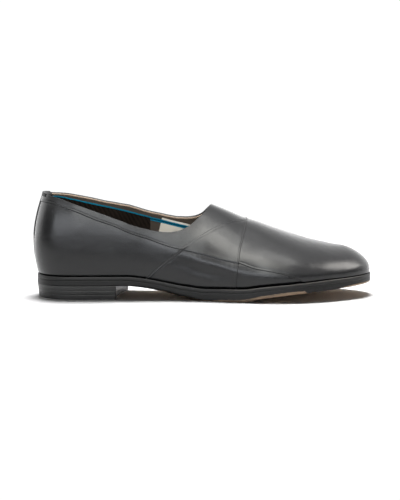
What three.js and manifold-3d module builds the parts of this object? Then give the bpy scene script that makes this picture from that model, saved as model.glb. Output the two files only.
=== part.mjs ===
// Slip-on dress shoe for the right foot, in millimetres, +Z up, toe along +X, outer side along -Y.
// Every section is a function of "at", the share of the sole's length counted from its back.
import * as THREE from "three";
import Module from "manifold-3d";

const wasm = await Module();
wasm.setup();

// Sizes of the sole
const soleLength = 297;
const ballWidth = 102;
const heelHeight = 12;
const toeSpring = 12;
const outsoleThickness = 7.7;
const weltThickness = 3;
const treadBevel = 1.3;
const heelRound = 37;
const toeRound = 80;

// Sizes of the heel stack
const topPieceThickness = 4;
const liftCount = 2;
const heelTaper = 1.3;
const breastHollow = 2.5;
const breastLateral = 71.5;
const breastMedial = 79;

// Sizes of the upper
const backRise = 71;
const throatRise = 69.4;
const throatFromBack = 154.7;
const leatherWall = 2.2;
const heelBulge = 5;
const toeBoxDepth = 28.8;
const heelSeatDepth = 44.8;
const collarStep = 0.6;
const saddleStep = 0.5;
const overlayLip = 0.8;
const backStripWidth = 10;
const backStripStep = 1;
const backStripFoot = 14;
const saddlePeak = 186.6;

// Sizes of the small pieces
const insoleThickness = 6.3;
const insoleEdge = 1;
const insoleClearance = 0.2;
const tabWidth = 20;
const tabThickness = 1.4;
const tabDropOutside = 10;
const tabDropInside = 8;
const fit = 0.3;

// Form of the round ends: a share of how fast the outline leaves its end
const heelPower = 2.2;
const toePower = 2.3;

const throatAt = throatFromBack / soleLength;

function table(names, rows) {
  return Object.fromEntries(names.map((name, k) => [name, rows.map((row) => row[k])]));
}

// Half widths and sideways shift of the sole, as shares of the ball width
const outlineTable = table(["at", "lateral", "medial", "shift"], [
  [0.00, 0.318, 0.318, 0.000],
  [0.12, 0.318, 0.318, 0.000],
  [0.24, 0.307, 0.302, 0.000],
  [0.36, 0.304, 0.264, 0.000],
  [0.46, 0.350, 0.280, 0.000],
  [0.57, 0.440, 0.384, 0.000],
  [0.66, 0.494, 0.466, 0.000],
  [0.75, 0.500, 0.498, 0.004],
  [0.84, 0.470, 0.484, 0.020],
  [0.93, 0.430, 0.446, 0.042],
  [1.00, 0.410, 0.420, 0.055],
]);

// Underside as shares of heel height and toe spring, and thickness as a share of the outsole's
const bedTable = table(["at", "heel", "spring", "thick", "bevel"], [
  [0.000, 1.00, 0.00, 0.62, 0.5],
  [0.268, 1.00, 0.00, 0.63, 0.6],
  [0.310, 0.90, 0.00, 0.65, 1.4],
  [0.377, 0.60, 0.00, 0.68, 1.8],
  [0.444, 0.22, 0.00, 0.83, 1.5],
  [0.505, 0.00, 0.00, 0.97, 1.0],
  [0.600, 0.00, 0.00, 1.04, 0.9],
  [0.670, 0.00, 0.32, 0.87, 0.9],
  [0.760, 0.00, 0.60, 0.75, 0.9],
  [0.848, 0.00, 0.77, 0.74, 0.9],
  [0.930, 0.00, 0.90, 0.66, 1.0],
  [1.000, 0.00, 1.00, 0.60, 1.0],
]);

// Spine of the last: its height as a share of the throat's rise, its shift as a share of the ball width,
// the powers that round the side and the crown, the swell of the side, and the width of the bare welt
const spineTable = table(["at", "rise", "shift", "side", "crown", "swell", "welt"], [
  [0.120, 1.697, 0.000, 2.00, 0.42, 2.8, 0.8],
  [0.290, 1.334, 0.000, 2.10, 0.46, 2.6, 1.2],
  [0.430, 1.146, 0.010, 2.00, 0.52, 2.6, 1.9],
  [0.521, 1.000, 0.022, 1.90, 0.55, 2.4, 2.6],
  [0.630, 0.794, 0.035, 1.90, 0.55, 2.4, 3.0],
  [0.700, 0.655, 0.040, 1.90, 0.54, 2.2, 3.0],
  [0.790, 0.497, 0.050, 1.90, 0.54, 2.0, 2.8],
  [0.840, 0.427, 0.055, 1.95, 0.56, 1.6, 2.6],
  [0.885, 0.375, 0.060, 2.05, 0.63, 1.2, 2.3],
  [0.920, 0.345, 0.065, 2.20, 0.70, 1.0, 1.8],
]);

// Height of the topline above the welt, as shares of the rise at the back and of the rise at the throat
const toplineLateral = table(["at", "ofBack", "ofThroat"], [
  [0.018, 1.000, 0.000],
  [0.045, 0.980, 0.000],
  [0.075, 0.949, 0.000],
  [0.110, 0.898, 0.000],
  [0.150, 0.838, 0.000],
  [0.190, 0.778, 0.000],
  [0.230, 0.716, 0.000],
  [0.270, 0.646, 0.007],
  [0.305, 0.508, 0.109],
  [0.335, 0.353, 0.254],
  [0.360, 0.221, 0.386],
  [0.385, 0.105, 0.514],
  [0.410, 0.024, 0.621],
  [0.432, 0.000, 0.684],
  [0.455, 0.000, 0.745],
  [0.475, 0.000, 0.822],
  [0.492, 0.000, 0.890],
  [0.508, 0.000, 0.954],
  [0.521, 0.000, 1.000],
]);
const toplineMedial = table(["at", "ofBack", "ofThroat"], [
  [0.018, 1.000, 0.000],
  [0.045, 0.980, 0.000],
  [0.080, 0.963, 0.000],
  [0.120, 0.932, 0.000],
  [0.160, 0.900, 0.000],
  [0.200, 0.863, 0.000],
  [0.240, 0.835, 0.000],
  [0.275, 0.793, 0.018],
  [0.305, 0.650, 0.139],
  [0.335, 0.452, 0.324],
  [0.365, 0.251, 0.528],
  [0.395, 0.084, 0.696],
  [0.425, 0.002, 0.786],
  [0.450, 0.000, 0.802],
  [0.472, 0.000, 0.827],
  [0.492, 0.000, 0.872],
  [0.508, 0.000, 0.940],
  [0.521, 0.000, 1.000],
]);

// Lower edge of the collar band, from the back seam to the welt beside the toes
const collarSeam = table(["at", "ofBack", "ofThroat"], [
  [-0.050, 0.910, 0.000],
  [0.040, 0.890, 0.000],
  [0.109, 0.814, 0.000],
  [0.185, 0.687, 0.000],
  [0.256, 0.576, 0.000],
  [0.342, 0.250, 0.236],
  [0.427, 0.000, 0.445],
  [0.482, 0.000, 0.428],
  [0.550, 0.000, 0.356],
  [0.600, 0.000, 0.313],
  [0.652, 0.000, 0.218],
  [0.695, 0.000, 0.167],
  [0.737, 0.000, 0.110],
  [0.769, 0.000, 0.042],
  [0.800, 0.000, -0.030],
]);

// Rear seam of the saddle, from the waist up to the saddle's peak on the instep
const saddleSeam = table(["at", "ofThroat"], [
  [0.318, -0.060],
  [0.350, 0.102],
  [0.372, 0.205],
  [0.407, 0.357],
  [0.462, 0.562],
  [0.490, 0.645],
  [0.525, 0.725],
  [0.560, 0.778],
  [0.587, 0.800],
  [0.610, 0.802],
  [0.628, 0.797],
]);

// Front seam of the saddle: how far it lies from the saddle's peak at each height, as shares of the throat's rise
const saddleFront = table(["ofThroat", "lateral", "medial"], [
  [0.797, 0.000, 0.000],
  [0.591, -0.059, 0.055],
  [0.494, -0.091, 0.090],
  [0.310, -0.122, 0.150],
  [0.052, -0.154, 0.210],
  [-0.060, -0.160, 0.225],
]);

// Smooth curve through a column's values that never swings past them
function follow(list, name, at) {
  const xs = list.at;
  const ys = list[name];
  return hermite(xs, ys, at, (before, after) => (before * after > 0 ? (2 * before * after) / (before + after) : 0));
}

// Rounder curve through a column's values, for outlines seen from above
function sweep(list, name, at) {
  const xs = list.at;
  const ys = list[name];
  return hermite(xs, ys, at, (before, after, left, right) => (before * right + after * left) / (left + right));
}

function hermite(xs, ys, at, slopeBetween) {
  const last = xs.length - 1;
  const x = Math.min(Math.max(at, xs[0]), xs[last]);
  let k = 0;
  while (k < last - 1 && x > xs[k + 1]) k += 1;
  const rise = (i) => (ys[i + 1] - ys[i]) / (xs[i + 1] - xs[i]);
  const slope = (i) => {
    if (i === 0) return rise(0);
    if (i === last) return rise(last - 1);
    return slopeBetween(rise(i - 1), rise(i), xs[i] - xs[i - 1], xs[i + 1] - xs[i]);
  };
  const width = xs[k + 1] - xs[k];
  const t = (x - xs[k]) / width;
  return (1 + 2 * t) * (1 - t) ** 2 * ys[k] + t * (1 - t) ** 2 * width * slope(k)
    + t * t * (3 - 2 * t) * ys[k + 1] + t * t * (t - 1) * width * slope(k + 1);
}

// Heights of the sole's layers
function treadHeight(at) {
  return heelHeight * follow(bedTable, "heel", at) + toeSpring * follow(bedTable, "spring", at);
}

function outsoleTop(at) {
  return treadHeight(at) + outsoleThickness * follow(bedTable, "thick", at);
}

function weltTop(at) {
  return outsoleTop(at) + fit + weltThickness;
}

// Half the sole's outline at one station: side is -1 for the outer edge and 1 for the inner one
function edgePoint(at, side) {
  const half = ballWidth * sweep(outlineTable, side < 0 ? "lateral" : "medial", at);
  const fromHeel = Math.max(0, 1 - (at * soleLength) / heelRound);
  const fromToe = Math.max(0, 1 - ((1 - at) * soleLength) / toeRound);
  const closing = Math.sqrt(Math.max(0, 1 - fromHeel ** heelPower) * Math.max(0, 1 - fromToe ** toePower));
  return new THREE.Vector2(at * soleLength, ballWidth * follow(outlineTable, "shift", at) + side * half * closing);
}

// A point of the outline with its outward normal, found from two points close to it on the round
function outlineFrame(at, side) {
  const nearby = 1e-3;
  const turn = Math.acos(1 - 2 * at) * -side;
  const around = (angle) => edgePoint((1 - Math.cos(angle)) / 2, Math.sin(angle) >= 0 ? -1 : 1);
  const tangent = around(turn + nearby).sub(around(turn - nearby)).normalize();
  const point = edgePoint(at, side);
  return { at, side, x: point.x, y: point.y, nx: tangent.y, ny: -tangent.x };
}

// Stations between two places, spaced by an easing function
function zone(from, to, count, easing) {
  return Array.from({ length: count }, (_, k) => from + (to - from) * easing(k / count));
}

const evenly = (s) => s;
const slowStart = (s) => 1 - Math.cos((s * Math.PI) / 2);
const slowEnd = (s) => Math.sin((s * Math.PI) / 2);
const crowding = 1.5;
const closerToEnd = (s) => 1 - (1 - s) ** crowding;
const closerToStart = (s) => s ** crowding;

// Places where the spacing of the stations changes: dense round the heel, at the throat and round the toe
const heelZoneEnd = 0.10;
const beforeThroat = throatAt - 0.071;
const pastThroat = throatAt + 0.039;
const toeZoneStart = 0.78;
const heelStations = zone(0, heelZoneEnd, 9, slowStart);
const stations = [
  ...heelStations,
  ...zone(heelZoneEnd, beforeThroat, 11, evenly),
  ...zone(beforeThroat, throatAt, 7, closerToEnd),
  ...zone(throatAt, pastThroat, 4, closerToStart),
  ...zone(pastThroat, toeZoneStart, 9, evenly),
  ...zone(toeZoneStart, 1, 12, slowEnd),
  1,
];

// The closed round of columns: along the outer side to the toe, and back along the inner side
function roundOf(list) {
  const lateral = list.map((at) => outlineFrame(at, -1));
  const medial = list.slice(1, -1).reverse().map((at) => outlineFrame(at, 1));
  return [...lateral, ...medial];
}

const round = roundOf(stations);

// A loop that follows the sole's outline at a distance inside it, with a height for each station
function loopInside(inward, height) {
  return round.map((c) => {
    const d = inward(c.at);
    return new THREE.Vector3(c.x - c.nx * d, c.y - c.ny * d, height(c.at));
  });
}

const weltWidth = (at) => follow(spineTable, "welt", at);

// Where the section of a column ends on the spine. Toe and heel columns fan out from the spine's two ends.
function spinePoint(at) {
  const x = at * soleLength;
  const fromToe = Math.max(0, 1 - (soleLength - x) / (2 * toeBoxDepth));
  const fromHeel = Math.max(0, 1 - x / (2 * heelSeatDepth));
  const tip = soleLength - toeBoxDepth;
  let along = x - toeBoxDepth * fromToe ** 2 + heelSeatDepth * fromHeel ** 2;
  if (tip - along < fit) along = tip;
  const spineAt = along / soleLength;
  const rise = throatRise * follow(spineTable, "rise", spineAt);
  const y = ballWidth * follow(spineTable, "shift", spineAt);
  return { at: spineAt, fromHeel, point: new THREE.Vector3(along, y, weltTop(spineAt) + fit + rise) };
}

// The last's surface, moved out by "out": a column runs from the welt (v = 0) to the spine (v = 1).
// It is drawn in towards the spine by (1 - v^side)^crown and swells by a hump that is highest at v = 1/3,
// where v (1 - v)^2 times the hump's factor is 1.
const humpFactor = 27 / 4;

function section(column, out) {
  const inward = weltWidth(column.at) - out;
  const x = column.x - column.nx * inward;
  const y = column.y - column.ny * inward;
  const z = weltTop(column.at) + fit;
  const spine = spinePoint(column.at);
  const top = spine.point.clone().setZ(spine.point.z + out);
  const reach = Math.hypot(x - top.x, y - top.y);
  const sideways = follow(spineTable, "swell", spine.at);
  const backwards = column.at < 0.5 ? spine.fromHeel * ((x - top.x) / reach) ** 2 : 0;
  const swell = sideways + (heelBulge - sideways) * backwards;
  const sidePower = follow(spineTable, "side", spine.at);
  const crownPower = follow(spineTable, "crown", spine.at);
  const rise = top.z - z;
  const pointAt = (v) => {
    const hump = humpFactor * v * (1 - v) ** 2;
    const drawn = (1 - v ** sidePower) ** crownPower + (swell * hump) / reach;
    return new THREE.Vector3(top.x + (x - top.x) * drawn, top.y + (y - top.y) * drawn, z + rise * v);
  };
  return { pointAt, rise };
}

function toplineHeight(x, side) {
  const at = x / soleLength;
  const line = side < 0 ? toplineLateral : toplineMedial;
  const rise = backRise * follow(line, "ofBack", at) + throatRise * follow(line, "ofThroat", at);
  return weltTop(at) + fit + rise;
}

// How far up its column the topline cuts the surface, found by halving
const halvings = 40;

function toplineShare(column) {
  if (column.at >= throatAt) return 1;
  const { pointAt } = section(column, 0);
  let low = 0;
  let high = 1;
  for (let step = 0; step < halvings; step += 1) {
    const middle = (low + high) / 2;
    const point = pointAt(middle);
    if (point.z < toplineHeight(point.x, column.side)) low = middle;
    else high = middle;
  }
  return high;
}

const cutShares = new Map(round.map((column) => [column, toplineShare(column)]));

// Grid of one surface: a list of rows, each a full round of points
function surface(out, rowCount, lip, foot) {
  const columns = round.map((column) => {
    const { pointAt, rise } = section(column, out);
    const open = column.at < throatAt || (lip > 0 && column.at <= throatAt);
    const end = cutShares.get(column) - (open ? lip / rise : 0);
    const start = foot / rise;
    const low = Math.asin(start);
    const high = Math.asin(Math.min(1, end));
    return Array.from({ length: rowCount + 1 }, (_, j) => pointAt(Math.sin(low + ((high - low) * j) / rowCount)));
  });
  return Array.from({ length: rowCount + 1 }, (_, j) => columns.map((column) => column[j]));
}

// Triangle soup between rows of points. A row closes on itself when "closed" is set.
class Soup {
  constructor() {
    this.triangles = [];
  }

  triangle(a, b, c) {
    this.triangles.push([a, b, c]);
  }

  quad(a, b, c, d) {
    this.triangle(a, b, c);
    this.triangle(a, c, d);
  }

  strip(lower, upper, closed) {
    const count = lower.length;
    for (let i = 0; i < (closed ? count : count - 1); i += 1) {
      const n = (i + 1) % count;
      this.quad(lower[i], lower[n], upper[n], upper[i]);
    }
  }

  rows(grid, closed) {
    for (let j = 0; j + 1 < grid.length; j += 1) this.strip(grid[j], grid[j + 1], closed);
  }

  // Vertices closer than a thousandth become one, and triangles that lose their area go
  geometry() {
    const places = new Map();
    const positions = [];
    const indices = [];
    const indexOf = (p) => {
      const key = [p.x, p.y, p.z].map((value) => Math.round(value * 1000)).join(" ");
      if (!places.has(key)) {
        places.set(key, places.size);
        positions.push(p.x, p.y, p.z);
      }
      return places.get(key);
    };
    for (const corners of this.triangles) {
      const [a, b, c] = corners.map(indexOf);
      if (a !== b && b !== c && c !== a) indices.push(a, b, c);
    }
    const made = new THREE.BufferGeometry();
    made.setAttribute("position", new THREE.Float32BufferAttribute(positions, 3));
    made.setIndex(indices);
    return made;
  }
}

function solidOf(geometry) {
  return new wasm.Manifold(new wasm.Mesh({
    numProp: 3,
    vertProperties: new Float32Array(geometry.attributes.position.array),
    triVerts: new Uint32Array(geometry.index.array),
  }));
}

function geometryOf(solid) {
  const made = solid.getMesh();
  const geometry = new THREE.BufferGeometry();
  geometry.setAttribute("position", new THREE.BufferAttribute(new Float32Array(made.vertProperties), 3));
  geometry.setIndex(new THREE.BufferAttribute(new Uint32Array(made.triVerts), 1));
  return geometry;
}

// A closed shell between an outer and an inner surface that go all the way round
function shell(outer, inner) {
  const soup = new Soup();
  soup.rows(outer, true);
  soup.rows([...inner].reverse(), true);
  soup.strip(outer.at(-1), inner.at(-1), true);
  soup.strip(inner[0], outer[0], true);
  return soup.geometry();
}

// A sheet with an outer and an inner grid of rows, closed along its four edges
function pad(outer, inner) {
  const soup = new Soup();
  soup.rows(outer, false);
  soup.rows([...inner].reverse(), false);
  soup.strip(outer.at(-1), inner.at(-1), false);
  soup.strip(inner[0], outer[0], false);
  for (let j = 0; j + 1 < outer.length; j += 1) {
    soup.quad(outer[j][0], outer[j + 1][0], inner[j + 1][0], inner[j][0]);
    soup.quad(outer[j].at(-1), inner[j].at(-1), inner[j + 1].at(-1), outer[j + 1].at(-1));
  }
  return soup.geometry();
}

// A ring whose section is the closed chain of loops
function ring(loops) {
  const soup = new Soup();
  soup.rows([...loops, loops[0]], true);
  return soup.geometry();
}

// A plate from stacked loops, closed above and below by strips across the foot
function plate(loops) {
  const soup = new Soup();
  soup.rows(loops, true);
  const last = stations.length - 1;
  const across = (loop, k) => [loop[k], loop[(loop.length - k) % loop.length]];
  for (let k = 0; k < last; k += 1) {
    const [bottomLeft, bottomRight] = across(loops[0], k);
    const [nextLeft, nextRight] = across(loops[0], k + 1);
    soup.quad(bottomLeft, bottomRight, nextRight, nextLeft);
    const [topLeft, topRight] = across(loops.at(-1), k);
    const [aheadLeft, aheadRight] = across(loops.at(-1), k + 1);
    soup.quad(topLeft, aheadLeft, aheadRight, topRight);
  }
  return soup.geometry();
}

// A prism: an outline in a plane, carried along the plane's normal by the matrix that lays it down
function prism(points, depth, lay) {
  const shape = new THREE.Shape(points);
  const block = new THREE.ExtrudeGeometry(shape, { depth, bevelEnabled: false, steps: 1 });
  block.applyMatrix4(lay);
  const soup = new Soup();
  const corner = block.attributes.position;
  for (let k = 0; k < corner.count; k += 3) {
    soup.triangle(...[k, k + 1, k + 2].map((i) => new THREE.Vector3().fromBufferAttribute(corner, i)));
  }
  return soup.geometry();
}

// Lays a side view (x, z) down so that it runs across the shoe from y = high towards -y
const acrossFrom = (high) => new THREE.Matrix4().set(1, 0, 0, 0, 0, 0, -1, high, 0, 1, 0, 0, 0, 0, 0, 1);

// Lays a rear view (y, z) down so that it runs along the shoe from x = start towards +x
const alongFrom = (start) => new THREE.Matrix4().set(0, 0, 1, start, 1, 0, 0, 0, 0, 1, 0, 0, 0, 0, 0, 1);

// Where the cutting shapes end, well outside the shoe on every side
const sideRoom = ballWidth;
const highRoom = 2 * (backRise + heelHeight + outsoleThickness);
const behindHeel = -3 * heelBulge;
const seamSteps = 18;
const saddleSteps = 12;

function seamHeight(list, at) {
  const ofBack = list.ofBack ? backRise * follow(list, "ofBack", at) : 0;
  return weltTop(at) + fit + ofBack + throatRise * follow(list, "ofThroat", at);
}

// Everything above the lower edge of the collar band
function aboveCollarSeam() {
  const first = collarSeam.at[0];
  const end = collarSeam.at.at(-1);
  const line = Array.from({ length: seamSteps + 1 }, (_, k) => {
    const at = first + ((end - first) * k) / seamSteps;
    return new THREE.Vector2(at * soleLength, seamHeight(collarSeam, at));
  });
  const low = line.at(-1).y;
  const far = soleLength + toeBoxDepth;
  const outline = [...line, new THREE.Vector2(far, low), new THREE.Vector2(far, highRoom),
    new THREE.Vector2(line[0].x, highRoom)];
  return solidOf(prism(outline, 2 * sideRoom, acrossFrom(sideRoom)));
}

// The saddle panel of one side, between its rear seam and its front seam
function saddleSide(side) {
  const first = saddleSeam.at[0];
  const rear = Array.from({ length: saddleSteps + 1 }, (_, k) => {
    const at = first + ((saddlePeak / soleLength - first) * k) / saddleSteps;
    return new THREE.Vector2(at * soleLength, seamHeight(saddleSeam, at));
  });
  const column = side < 0 ? saddleFront.lateral : saddleFront.medial;
  const front = column.slice(1).map((away, k) => {
    const x = saddlePeak + away * throatRise;
    const base = weltTop(saddlePeak / soleLength) + fit;
    return new THREE.Vector2(x, base + throatRise * saddleFront.ofThroat[k + 1]);
  });
  const outline = [...rear, ...front].reverse();
  const middle = ballWidth * follow(spineTable, "shift", saddlePeak / soleLength);
  return solidOf(prism(outline, sideRoom, acrossFrom(side < 0 ? middle : middle + sideRoom)));
}

// The strip that covers the back seam, with a round foot
function backStripZone() {
  const half = backStripWidth / 2;
  const low = weltTop(0) + backStripFoot + half;
  const arcSteps = 8;
  const arc = Array.from({ length: arcSteps + 1 }, (_, k) => {
    const angle = Math.PI + (Math.PI * k) / arcSteps;
    return new THREE.Vector2(half * Math.cos(angle), low + half * Math.sin(angle));
  });
  const outline = [...arc, new THREE.Vector2(half, highRoom), new THREE.Vector2(-half, highRoom)];
  return solidOf(prism(outline, heelRound + heelBulge, alongFrom(behindHeel)));
}

// The wall, and on it the lapped panels, each a skin that reaches from the middle of the wall to its own step
function buildUpper() {
  const outerRows = 9;
  const innerRows = 5;
  const buriedRows = 3;
  const buried = surface(-leatherWall / 2, buriedRows, overlayLip, overlayLip);
  const skin = (out) => solidOf(shell(surface(out, outerRows, overlayLip, overlayLip), buried));
  const collar = aboveCollarSeam();
  let upper = solidOf(shell(surface(0, outerRows, 0, 0), surface(-leatherWall, innerRows, 0, 0)));
  upper = upper.add(skin(collarStep).intersect(collar));
  for (const saddle of [saddleSide(-1), saddleSide(1)]) {
    upper = upper.add(skin(saddleStep).intersect(saddle));
    upper = upper.add(skin(collarStep + saddleStep).intersect(saddle).intersect(collar));
  }
  upper = upper.add(skin(backStripStep).intersect(backStripZone()));
  return geometryOf(upper);
}

// A folded tab over the topline at the back seam, wrapped round the heel
function buildHeelTab() {
  const columnCount = 8;
  const outside = backStripStep + fit;
  const inside = -leatherWall - fit;
  const edgeAt = ((tabWidth / (2 * ballWidth * outlineTable.lateral[0])) ** 2 * heelRound)
    / (heelPower * soleLength);
  // One chain of points over the rim, "spread" outwards from the one that lies closest to the leather
  const chain = (column, spread) => {
    const v = toplineShare(column);
    const drop = (length) => v - length / section(column, 0).rise;
    const on = (out, share, lift) => {
      const point = section(column, out).pointAt(share);
      return point.setZ(point.z + lift);
    };
    return [
      on(outside + spread, drop(tabDropOutside), 0),
      on(outside + spread, drop(tabDropOutside / 2), 0),
      on(outside + spread, v, 0),
      on(spread / 2, v, fit + spread),
      on(-leatherWall - spread / 2, v, fit + spread),
      on(inside - spread, v, 0),
      on(inside - spread, drop(tabDropInside), 0),
    ];
  };
  const columns = Array.from({ length: columnCount + 1 }, (_, k) => {
    const s = (2 * k) / columnCount - 1;
    return outlineFrame(edgeAt * s * s, s < 0 ? 1 : -1);
  });
  const rowsOf = (spread) => {
    const chains = columns.map((column) => chain(column, spread));
    return chains[0].map((_, j) => chains.map((points) => points[j]));
  };
  return pad(rowsOf(tabThickness), rowsOf(0));
}

// The sole's outline back of the breast, with the breast's hollow, drawn in by "inward"
const straightHeelSteps = 3;
const breastSteps = 8;

function heelOutline(inward) {
  const half = (side, breast) => [...heelStations, ...zone(heelZoneEnd, breast / soleLength, straightHeelSteps, evenly),
    breast / soleLength].map((at) => {
    const c = outlineFrame(at, side);
    return new THREE.Vector2(c.x - c.nx * inward, c.y - c.ny * inward);
  });
  const lateral = half(-1, breastLateral);
  const medial = half(1, breastMedial);
  const from = lateral.at(-1);
  const to = medial.at(-1);
  const breast = Array.from({ length: breastSteps - 1 }, (_, k) => {
    const s = (k + 1) / breastSteps;
    const point = from.clone().lerp(to, s);
    return point.setX(point.x - breastHollow * 4 * s * (1 - s));
  });
  return [...lateral, ...breast, ...medial.slice(1).reverse()];
}

// One layer of the heel, between two heights, with the heel's taper
function heelLayer(low, high) {
  const taperAt = (z) => heelTaper * (1 - z / heelHeight);
  const lower = heelOutline(taperAt(low));
  const upper = heelOutline(taperAt(high));
  const raised = (points, z) => points.map((p) => new THREE.Vector3(p.x, p.y, z));
  const bottom = raised(lower, low);
  const top = raised(upper, high);
  const soup = new Soup();
  soup.strip(bottom, top, true);
  for (const [a, b, c] of THREE.ShapeUtils.triangulateShape(lower, [])) soup.triangle(bottom[a], bottom[c], bottom[b]);
  for (const [a, b, c] of THREE.ShapeUtils.triangulateShape(upper, [])) soup.triangle(top[a], top[b], top[c]);
  return soup.geometry();
}

function buildWelt() {
  const inner = (at) => weltWidth(at) + leatherWall;
  const outer = () => 0;
  const low = (at) => weltTop(at) - weltThickness;
  return ring([loopInside(outer, low), loopInside(outer, weltTop), loopInside(inner, weltTop), loopInside(inner, low)]);
}

function buildOutsole() {
  const bevel = (at) => treadBevel * follow(bedTable, "bevel", at);
  const flush = () => 0;
  return plate([
    loopInside(bevel, treadHeight),
    loopInside(flush, (at) => treadHeight(at) + bevel(at)),
    loopInside(flush, outsoleTop),
  ]);
}

function buildInsole() {
  const edge = (at) => weltWidth(at) + leatherWall + fit + insoleClearance;
  const low = (at) => outsoleTop(at) + fit;
  const high = (at) => low(at) + insoleThickness;
  return plate([
    loopInside(edge, low),
    loopInside(edge, (at) => high(at) - insoleEdge),
    loopInside((at) => edge(at) + insoleEdge, high),
  ]);
}

// Materials
const leather = new THREE.MeshStandardMaterial({ color: 0x2b2b2c, roughness: 0.42, metalness: 0 });
const edgeLeather = new THREE.MeshStandardMaterial({ color: 0x1d1c1c, roughness: 0.5, metalness: 0 });
const soleLeather = new THREE.MeshStandardMaterial({ color: 0x3a332e, roughness: 0.6, metalness: 0 });
const lining = new THREE.MeshStandardMaterial({ color: 0x6f6150, roughness: 0.8, metalness: 0 });
const rubber = new THREE.MeshStandardMaterial({ color: 0x141414, roughness: 0.7, metalness: 0 });

const shoe = new THREE.Group();

function addPiece(name, geometry, material) {
  const mesh = new THREE.Mesh(geometry, material);
  mesh.name = name;
  shoe.add(mesh);
}

addPiece("upper", buildUpper(), leather);
addPiece("heel_tab", buildHeelTab(), leather);
addPiece("insole", buildInsole(), lining);
addPiece("welt", buildWelt(), edgeLeather);
addPiece("outsole", buildOutsole(), soleLeather);
addPiece("heel_top_piece", heelLayer(0, topPieceThickness), rubber);
const liftThickness = (heelHeight - topPieceThickness - fit * (liftCount + 1)) / liftCount;
for (let k = 0; k < liftCount; k += 1) {
  const low = topPieceThickness + fit + k * (liftThickness + fit);
  addPiece(`heel_lift_${k + 1}`, heelLayer(low, low + liftThickness), edgeLeather);
}

// The origin is under the middle of the shoe's box, on the ground
const box = new THREE.Box3().setFromObject(shoe);
const middle = box.getCenter(new THREE.Vector3());
shoe.position.set(-middle.x, -middle.y, -box.min.z);
const standing = new THREE.Group();
standing.add(shoe);

export default standing;
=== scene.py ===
"""Slip-on dress shoe for the right foot: the looks that dress its solids.

Shapes are worked out in millimetres, x from the sole's back towards the toe, y towards the inner side of
the foot, z up from the ground, and placed in metres on the frame.
"""
import math

import bmesh
import bpy
import numpy as np
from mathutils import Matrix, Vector


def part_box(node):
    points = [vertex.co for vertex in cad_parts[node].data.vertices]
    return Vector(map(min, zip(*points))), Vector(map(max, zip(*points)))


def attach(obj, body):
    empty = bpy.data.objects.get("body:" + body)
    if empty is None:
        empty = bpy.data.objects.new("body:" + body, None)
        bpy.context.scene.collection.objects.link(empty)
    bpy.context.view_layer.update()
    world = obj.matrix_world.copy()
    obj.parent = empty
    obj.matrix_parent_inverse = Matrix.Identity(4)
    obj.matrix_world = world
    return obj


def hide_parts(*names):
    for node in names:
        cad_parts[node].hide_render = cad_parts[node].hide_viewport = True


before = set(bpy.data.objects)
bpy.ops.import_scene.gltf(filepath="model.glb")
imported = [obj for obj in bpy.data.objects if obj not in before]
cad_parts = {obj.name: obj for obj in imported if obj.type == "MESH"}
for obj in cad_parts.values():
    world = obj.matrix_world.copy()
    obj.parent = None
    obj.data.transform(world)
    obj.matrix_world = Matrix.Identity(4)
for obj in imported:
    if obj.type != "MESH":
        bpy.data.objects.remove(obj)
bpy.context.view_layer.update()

MM = 0.001
LATERAL, MEDIAL = -1, 1

# Sizes of the sole and the heel, in millimetres
SOLE_LENGTH = 297.0
BALL_WIDTH = 102.0
HEEL_HEIGHT = 12.0
TOE_SPRING = 12.0
OUTSOLE_THICKNESS = 7.7
WELT_THICKNESS = 3.0
TREAD_BEVEL = 1.3
HEEL_ROUND = 37.0
TOE_ROUND = 80.0
HEEL_POWER = 2.2
TOE_POWER = 2.3
HEEL_JOINTS = (0.0, 4.1, 7.95, 11.95)
HEEL_TAPER = 1.3
BREAST_HOLLOW = 2.5
BREAST = {LATERAL: 71.5, MEDIAL: 79.0}

# Sizes of the upper
BACK_RISE = 71.0
THROAT_RISE = 69.4
THROAT_FROM_BACK = 154.7
WALL = 2.2
HEEL_BULGE = 5.0
TOE_BOX_DEPTH = 28.8
HEEL_SEAT_DEPTH = 44.8
COLLAR_STEP = 0.6
SADDLE_STEP = 0.5
BACK_STRIP_WIDTH = 10.0
BACK_STRIP_STEP = 1.0
BACK_STRIP_FOOT = 14.0
SADDLE_PEAK = 186.6
INSOLE_THICKNESS = 6.3
FIT = 0.3
THROAT_AT = THROAT_FROM_BACK / SOLE_LENGTH


def table(names, rows):
    """Columns of a table by name, each as an array."""
    return dict(zip(names, np.array(rows, float).T))


OUTLINE = table(("at", "lateral", "medial", "shift"), [
    (0.00, 0.318, 0.318, 0.000), (0.12, 0.318, 0.318, 0.000), (0.24, 0.307, 0.302, 0.000),
    (0.36, 0.304, 0.264, 0.000), (0.46, 0.350, 0.280, 0.000), (0.57, 0.440, 0.384, 0.000),
    (0.66, 0.494, 0.466, 0.000), (0.75, 0.500, 0.498, 0.004), (0.84, 0.470, 0.484, 0.020),
    (0.93, 0.430, 0.446, 0.042), (1.00, 0.410, 0.420, 0.055)])
BED = table(("at", "heel", "spring", "thick", "bevel"), [
    (0.000, 1.00, 0.00, 0.62, 0.5), (0.268, 1.00, 0.00, 0.63, 0.6), (0.310, 0.90, 0.00, 0.65, 1.4),
    (0.377, 0.60, 0.00, 0.68, 1.8), (0.444, 0.22, 0.00, 0.83, 1.5), (0.505, 0.00, 0.00, 0.97, 1.0),
    (0.600, 0.00, 0.00, 1.04, 0.9), (0.670, 0.00, 0.32, 0.87, 0.9), (0.760, 0.00, 0.60, 0.75, 0.9),
    (0.848, 0.00, 0.77, 0.74, 0.9), (0.930, 0.00, 0.90, 0.66, 1.0), (1.000, 0.00, 1.00, 0.60, 1.0)])
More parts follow.
